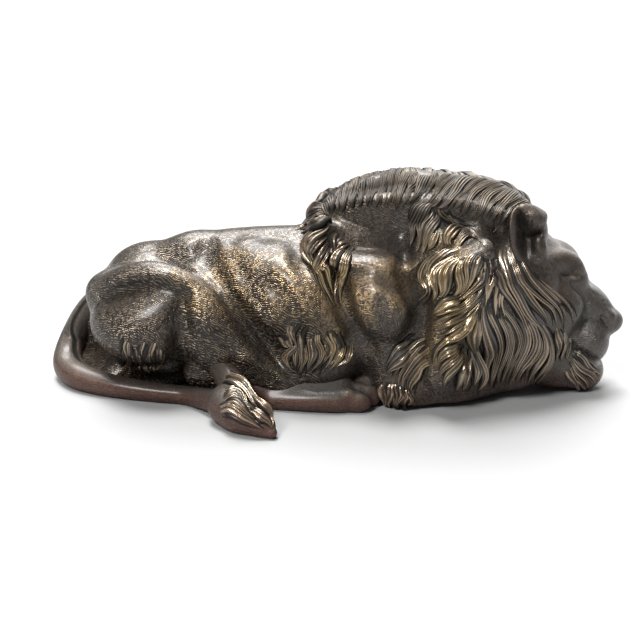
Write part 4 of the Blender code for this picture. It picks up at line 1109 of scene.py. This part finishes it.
def bronze_finish(name, coat, pitch, rough):
    """Cast bronze: dark brown patina, painted shade that makes it black in the recesses, painted highlights
    on its ridges, golden where hands rub it, waxed.

    coat is how strongly it is chased with the short wavy strokes of fur, pitch apart, in rows that run down
    towards the tail. Without a coat it is hair, with fine lines along the strands, pitch apart. rough is how
    rough the clean metal is.
    """
    f = Finish(name)
    place = f.add("ShaderNodeTexCoord", {}, {}, "Object")
    flow = f.attribute("flow", "Vector")
    crest, shelter, rubbed = (f.attribute(key) for key in ("crest", "shelter", "rubbed"))
    x, y, z = (f.add("ShaderNodeSeparateXYZ", {}, {0: place}, i) / UNIT for i in range(3))
    facing = f.add("ShaderNodeNewGeometry", {}, {}, "Normal")
    upward = f.add("ShaderNodeSeparateXYZ", {}, {0: facing}, 2)

    # The grain: strokes or lines, their tops and the valleys between them, and how much each is rubbed
    blotch = f.noise(place, 45.0)
    cloud = f.noise(place, 18.0, 1.0)
    speck = f.noise(place, 1300.0, 3.0, 0.7)
    if coat:
        rise = (z - f.sum_with("ABSOLUTE", y)) * 0.92 + x * 0.38
        rise = rise + f.noise(place, 40.0, 1.0) * 7 + f.noise(place, 320.0, 1.0) * 2.2
        rows = f.sum_with("SINE", rise * (2 * math.pi / pitch)) * 0.5 + 0.5
        broken = f.noise(place, 600.0 / pitch, 1.0).step(0.34, 0.60) * 0.8 + 0.2
        strokes = (rows * broken).step(0.08, 0.8)
        relief, depth = strokes * coat + speck * 0.45, 0.62 * pitch * UNIT
        valley = (1 - strokes) * coat
        ridge = strokes * coat * 0.8
        lone = blotch
        touched = rubbed * 0.75
        high = 0.0
    else:
        strokes = f.noise(f.drawn_out(flow, (0.12, 1 / pitch, 1.0)), 1.0, 1.0)
        relief, depth = strokes * 0.7 + speck * 0.3, 0.2 * UNIT
        valley = (1 - strokes.step(0.25, 0.5)) * 0.2 + (1 - crest.step(0.15, 0.5)) * 0.8
        ridge = crest.step(0.4, 0.9)
        lone = f.noise(f.drawn_out(flow, (0.02, 0.0, 1.0)), 1.0, 0.0)
        touched = rubbed * 0.42
        high = z.step(56.0, 66.0) * (0.85 - x.step(15.0, 40.0) * 0.3)

    # The colour, layer on layer: patina, painted shade near the ground, painted highlights, gold wear,
    # painted shade in hollows and grooves
    worn = (crest.step(0.0, 0.35) * 0.4 + touched + blotch + lone * 0.5 - 0.95).step(0.2, 1.0)
    worn = worn * (1 - valley * 0.7)
    hidden = shelter.step(0.25, 0.8)
    # painted shade and warm reflection: the sides near the ground that don't face up
    low = (1 - z.step(3.0, 14.0)) * (1 - upward.step(0.35, 0.85))
    patina = f.mix(cloud.step(0.4, 0.6), BROWN, GREY)
    patina = f.mix(blotch.step(0.5, 0.75) * 0.5, patina, UMBER)
    patina = f.mix(low * 0.9, patina, GROUND_SHADE_AND_REFLECTION)
    # painted highlights: the tops of strokes and strands are made lighter
    patina = f.mix(ridge * 0.8, patina, COAT_RIDGE_HIGHLIGHT if coat else HAIR_RIDGE_HIGHLIGHT)
    patina = f.mix(high, patina, SOOT)
    metal = f.mix(worn, patina, COAT_GOLD if coat else HAIR_GOLD)
    # painted shade: sheltered places are darkened
    shelter_shaded = f.mix(hidden * 0.9, metal, SHELTER_SHADE)
    # painted shade: the grooves between strokes and between strands are darkened
    dark = f.mix(valley * 0.75, shelter_shaded, GROOVE_SHADE)
    normal = f.add("ShaderNodeBump", {}, {"Strength": 1.0, "Distance": depth, "Height": relief})
    f.feed(
        f.shader,
        {
            "Base Color": dark,
            "Metallic": 0.72,
            "Roughness": hidden * 0.35 + valley * 0.15 + high * 0.3 + rough,
            "Normal": normal,
            "Coat Weight": 0.35 * (1 - hidden) * (1 - high),
            "Coat Roughness": 0.25,
        },
    )
    return f.material


# Putting the lion together

fineness = 1.0


def many(count):
    """A count of rows or columns, fewer while trying things out."""
    return max(6, int(count * fineness))


ROUND = np.linspace(0, 2 * math.pi, many(90), endpoint=False)  # the angles of the small skins
FOOT_OUT = 23.5  # how far out the middle of a hind foot lies
LOOSE, FINE_LOOSE = 1.6, 5.0  # how far, in pixels, strands and the fine ones under them may stray
WIDEST, FINE_WIDEST = 3.2, 0.9  # half the width of the widest strands, and of the widest fine ones
FINE_BURIED = 0.75

fur = bronze_finish("fur bronze", 1.0, 0.78, 0.27)
fine = bronze_finish("fine fur bronze", 0.9, 0.52, 0.28)
smooth = bronze_finish("smooth bronze", 0.4, 0.6, 0.38)
matt = bronze_finish("matt bronze", 0.2, 0.7, 0.58)
hair = bronze_finish("hair bronze", 0, 0.8, 0.25)

body = mould(
    (-106, -60, -3), (106, 48, 88), 0.6,
    torso, hindquarters, tail_root, forequarters, mane_mass, head, hind_muscles, shoulder_muscles,
    mane_hollows, face,
)

rubbed_places = laid(body, np.array([pixel for pixel, _ in RUBBED], float))

angles = ring_of_angles(36, 74, many(360), 0.25)
for name, low, high, rows, finish in (
    ("hindquarters", -60, -3, (95, 124, 0), fur),
    ("shoulders", -3, 60, (0, 156, 0), fine),
    ("head", 60, 73, (0, 34, 150), smooth),
):
    p = skin(body, (low, 0, AXIS_UP), (high, 0, AXIS_UP), [int(n * fineness) for n in rows], angles)
    dressed(name, body, p, finish, 1.5 if name == "head" else 2.5)

for side, word in ((NEAR, "near"), (FAR, "far")):
    y = FOOT_OUT * side
    paws = mould((-40, y - 16, -2), (22, y + 16, 22), 0.5, feet)
    p = skin(paws, (-24, y, 3), (4, y, 3), (many(30), many(50), many(50)), ROUND, 25)
    dressed(f"hind_foot_{word}", paws, p, matt, 1.5)
    x, y, z = seen_at(*EAR_MIDDLE) * np.array([1, side, 1]) - (0, 0, EARS[side])
    block = Mould((x - 16, y - 16, z - 18), (x + 16, y + 16, z + 18), 0.4)
    ear(block, side)
    p = skin(block, (x - 1, y, z), (x + 1, y, z), (many(60), many(12), many(60)), ROUND, 18)
    dressed(f"ear_{word}", block, p, smooth, 3.2)

pod = mould((-50, -62, -2), (-6, -16, 24), 0.5, tuft)
p = skin(pod, (-34, -35, 5), (-22, -48, 3), (many(50), many(30), many(50)), ROUND, 30)
dressed("tail_tuft", pod, p, matt, 1.5)
tail_sleeve("tail", body, matt, many(150), many(40))

feet(body)
tuft(body)
body.flatten_below(GROUND)
for name, comb in COMBS.items():
    for side in (NEAR,) if name == "tuft" else BOTH:
        if side == NEAR:
            word, rows, around = "near", 24, 8 + 4 * comb.ridges
        else:
            word, rows, around = "far", 16, 7 + 2 * comb.ridges
        path = combed(body, name, comb.count, many(rows), LOOSE)
        locks(f"{name}_{word}", body, path, side, comb, hair, around, WIDEST)
        if comb.finer:
            path = combed(body, name, comb.finer, many(14), FINE_LOOSE)
            locks(f"{name}_under_{word}", body, path, side, FINER, hair, 8, FINE_WIDEST, FINE_BURIED)


# Camera, light and floor


def look(place, target, thing):
    """Stands a camera or a light at a place, turned to a target."""
    thing.location = place
    thing.rotation_euler = (Vector(target) - Vector(place)).to_track_quat("-Z", "Y").to_euler()


SUNS = {  # name: towards it from the lion, how wide an angle it fills in degrees, and its power
    "overhead": ((-0.12, 0.10, 0.9), 24, 5.6),
    "behind": ((-0.15, 0.6, 0.8), 36, 4.0),
    "backdrop": ((0.35, 0.8, 0.4), 50, 1.3),
    "front": ((-0.35, -0.6, 0.8), 16, 2.7),
}
GLOW = 0.14  # how brightly the whole white room shines
FLOOR_GREY = 0.30
FLOOR_HALF = 40 * LENGTH  # half the side of the floor, metres
MIDDLE = (0, 0, 0.03)  # what the suns are turned to


def studio():
    """The camera of the photograph, and a pale floor under soft light from above, before and behind."""
    scene = bpy.context.scene
    lens = bpy.data.cameras.new("camera")
    lens.sensor_width, lens.lens, lens.clip_start = SENSOR, LENS, 0.01
    camera = bpy.data.objects.new("camera", lens)
    scene.collection.objects.link(camera)
    look(EYE * UNIT, TARGET * UNIT, camera)
    scene.camera = camera

    for name, (towards, angle, power) in SUNS.items():
        sun = bpy.data.lights.new(name, "SUN")
        sun.energy, sun.angle = power, math.radians(angle)
        lamp = bpy.data.objects.new(name, sun)
        scene.collection.objects.link(lamp)
        look(towards, MIDDLE, lamp)
    world = bpy.data.worlds.new("studio")
    scene.world = world
    world.use_nodes = True
    background = world.node_tree.nodes["Background"].inputs
    background["Color"].default_value = rgb(1, 1, 1)
    background["Strength"].default_value = GLOW
    scene.view_settings.view_transform = "Standard"

    mesh = bpy.data.meshes.new("floor")
    corners = [(x * FLOOR_HALF, y * FLOOR_HALF, 0) for x, y in ((-1, -1), (1, -1), (1, 1), (-1, 1))]
    mesh.from_pydata(corners, [], [(0, 1, 2, 3)])
    floor = bpy.data.objects.new("floor", mesh)
    scene.collection.objects.link(floor)
    f = Finish("floor")
    f.feed(f.shader, {"Base Color": rgb(FLOOR_GREY, FLOOR_GREY, FLOOR_GREY), "Roughness": 0.9})
    mesh.materials.append(f.material)


studio()
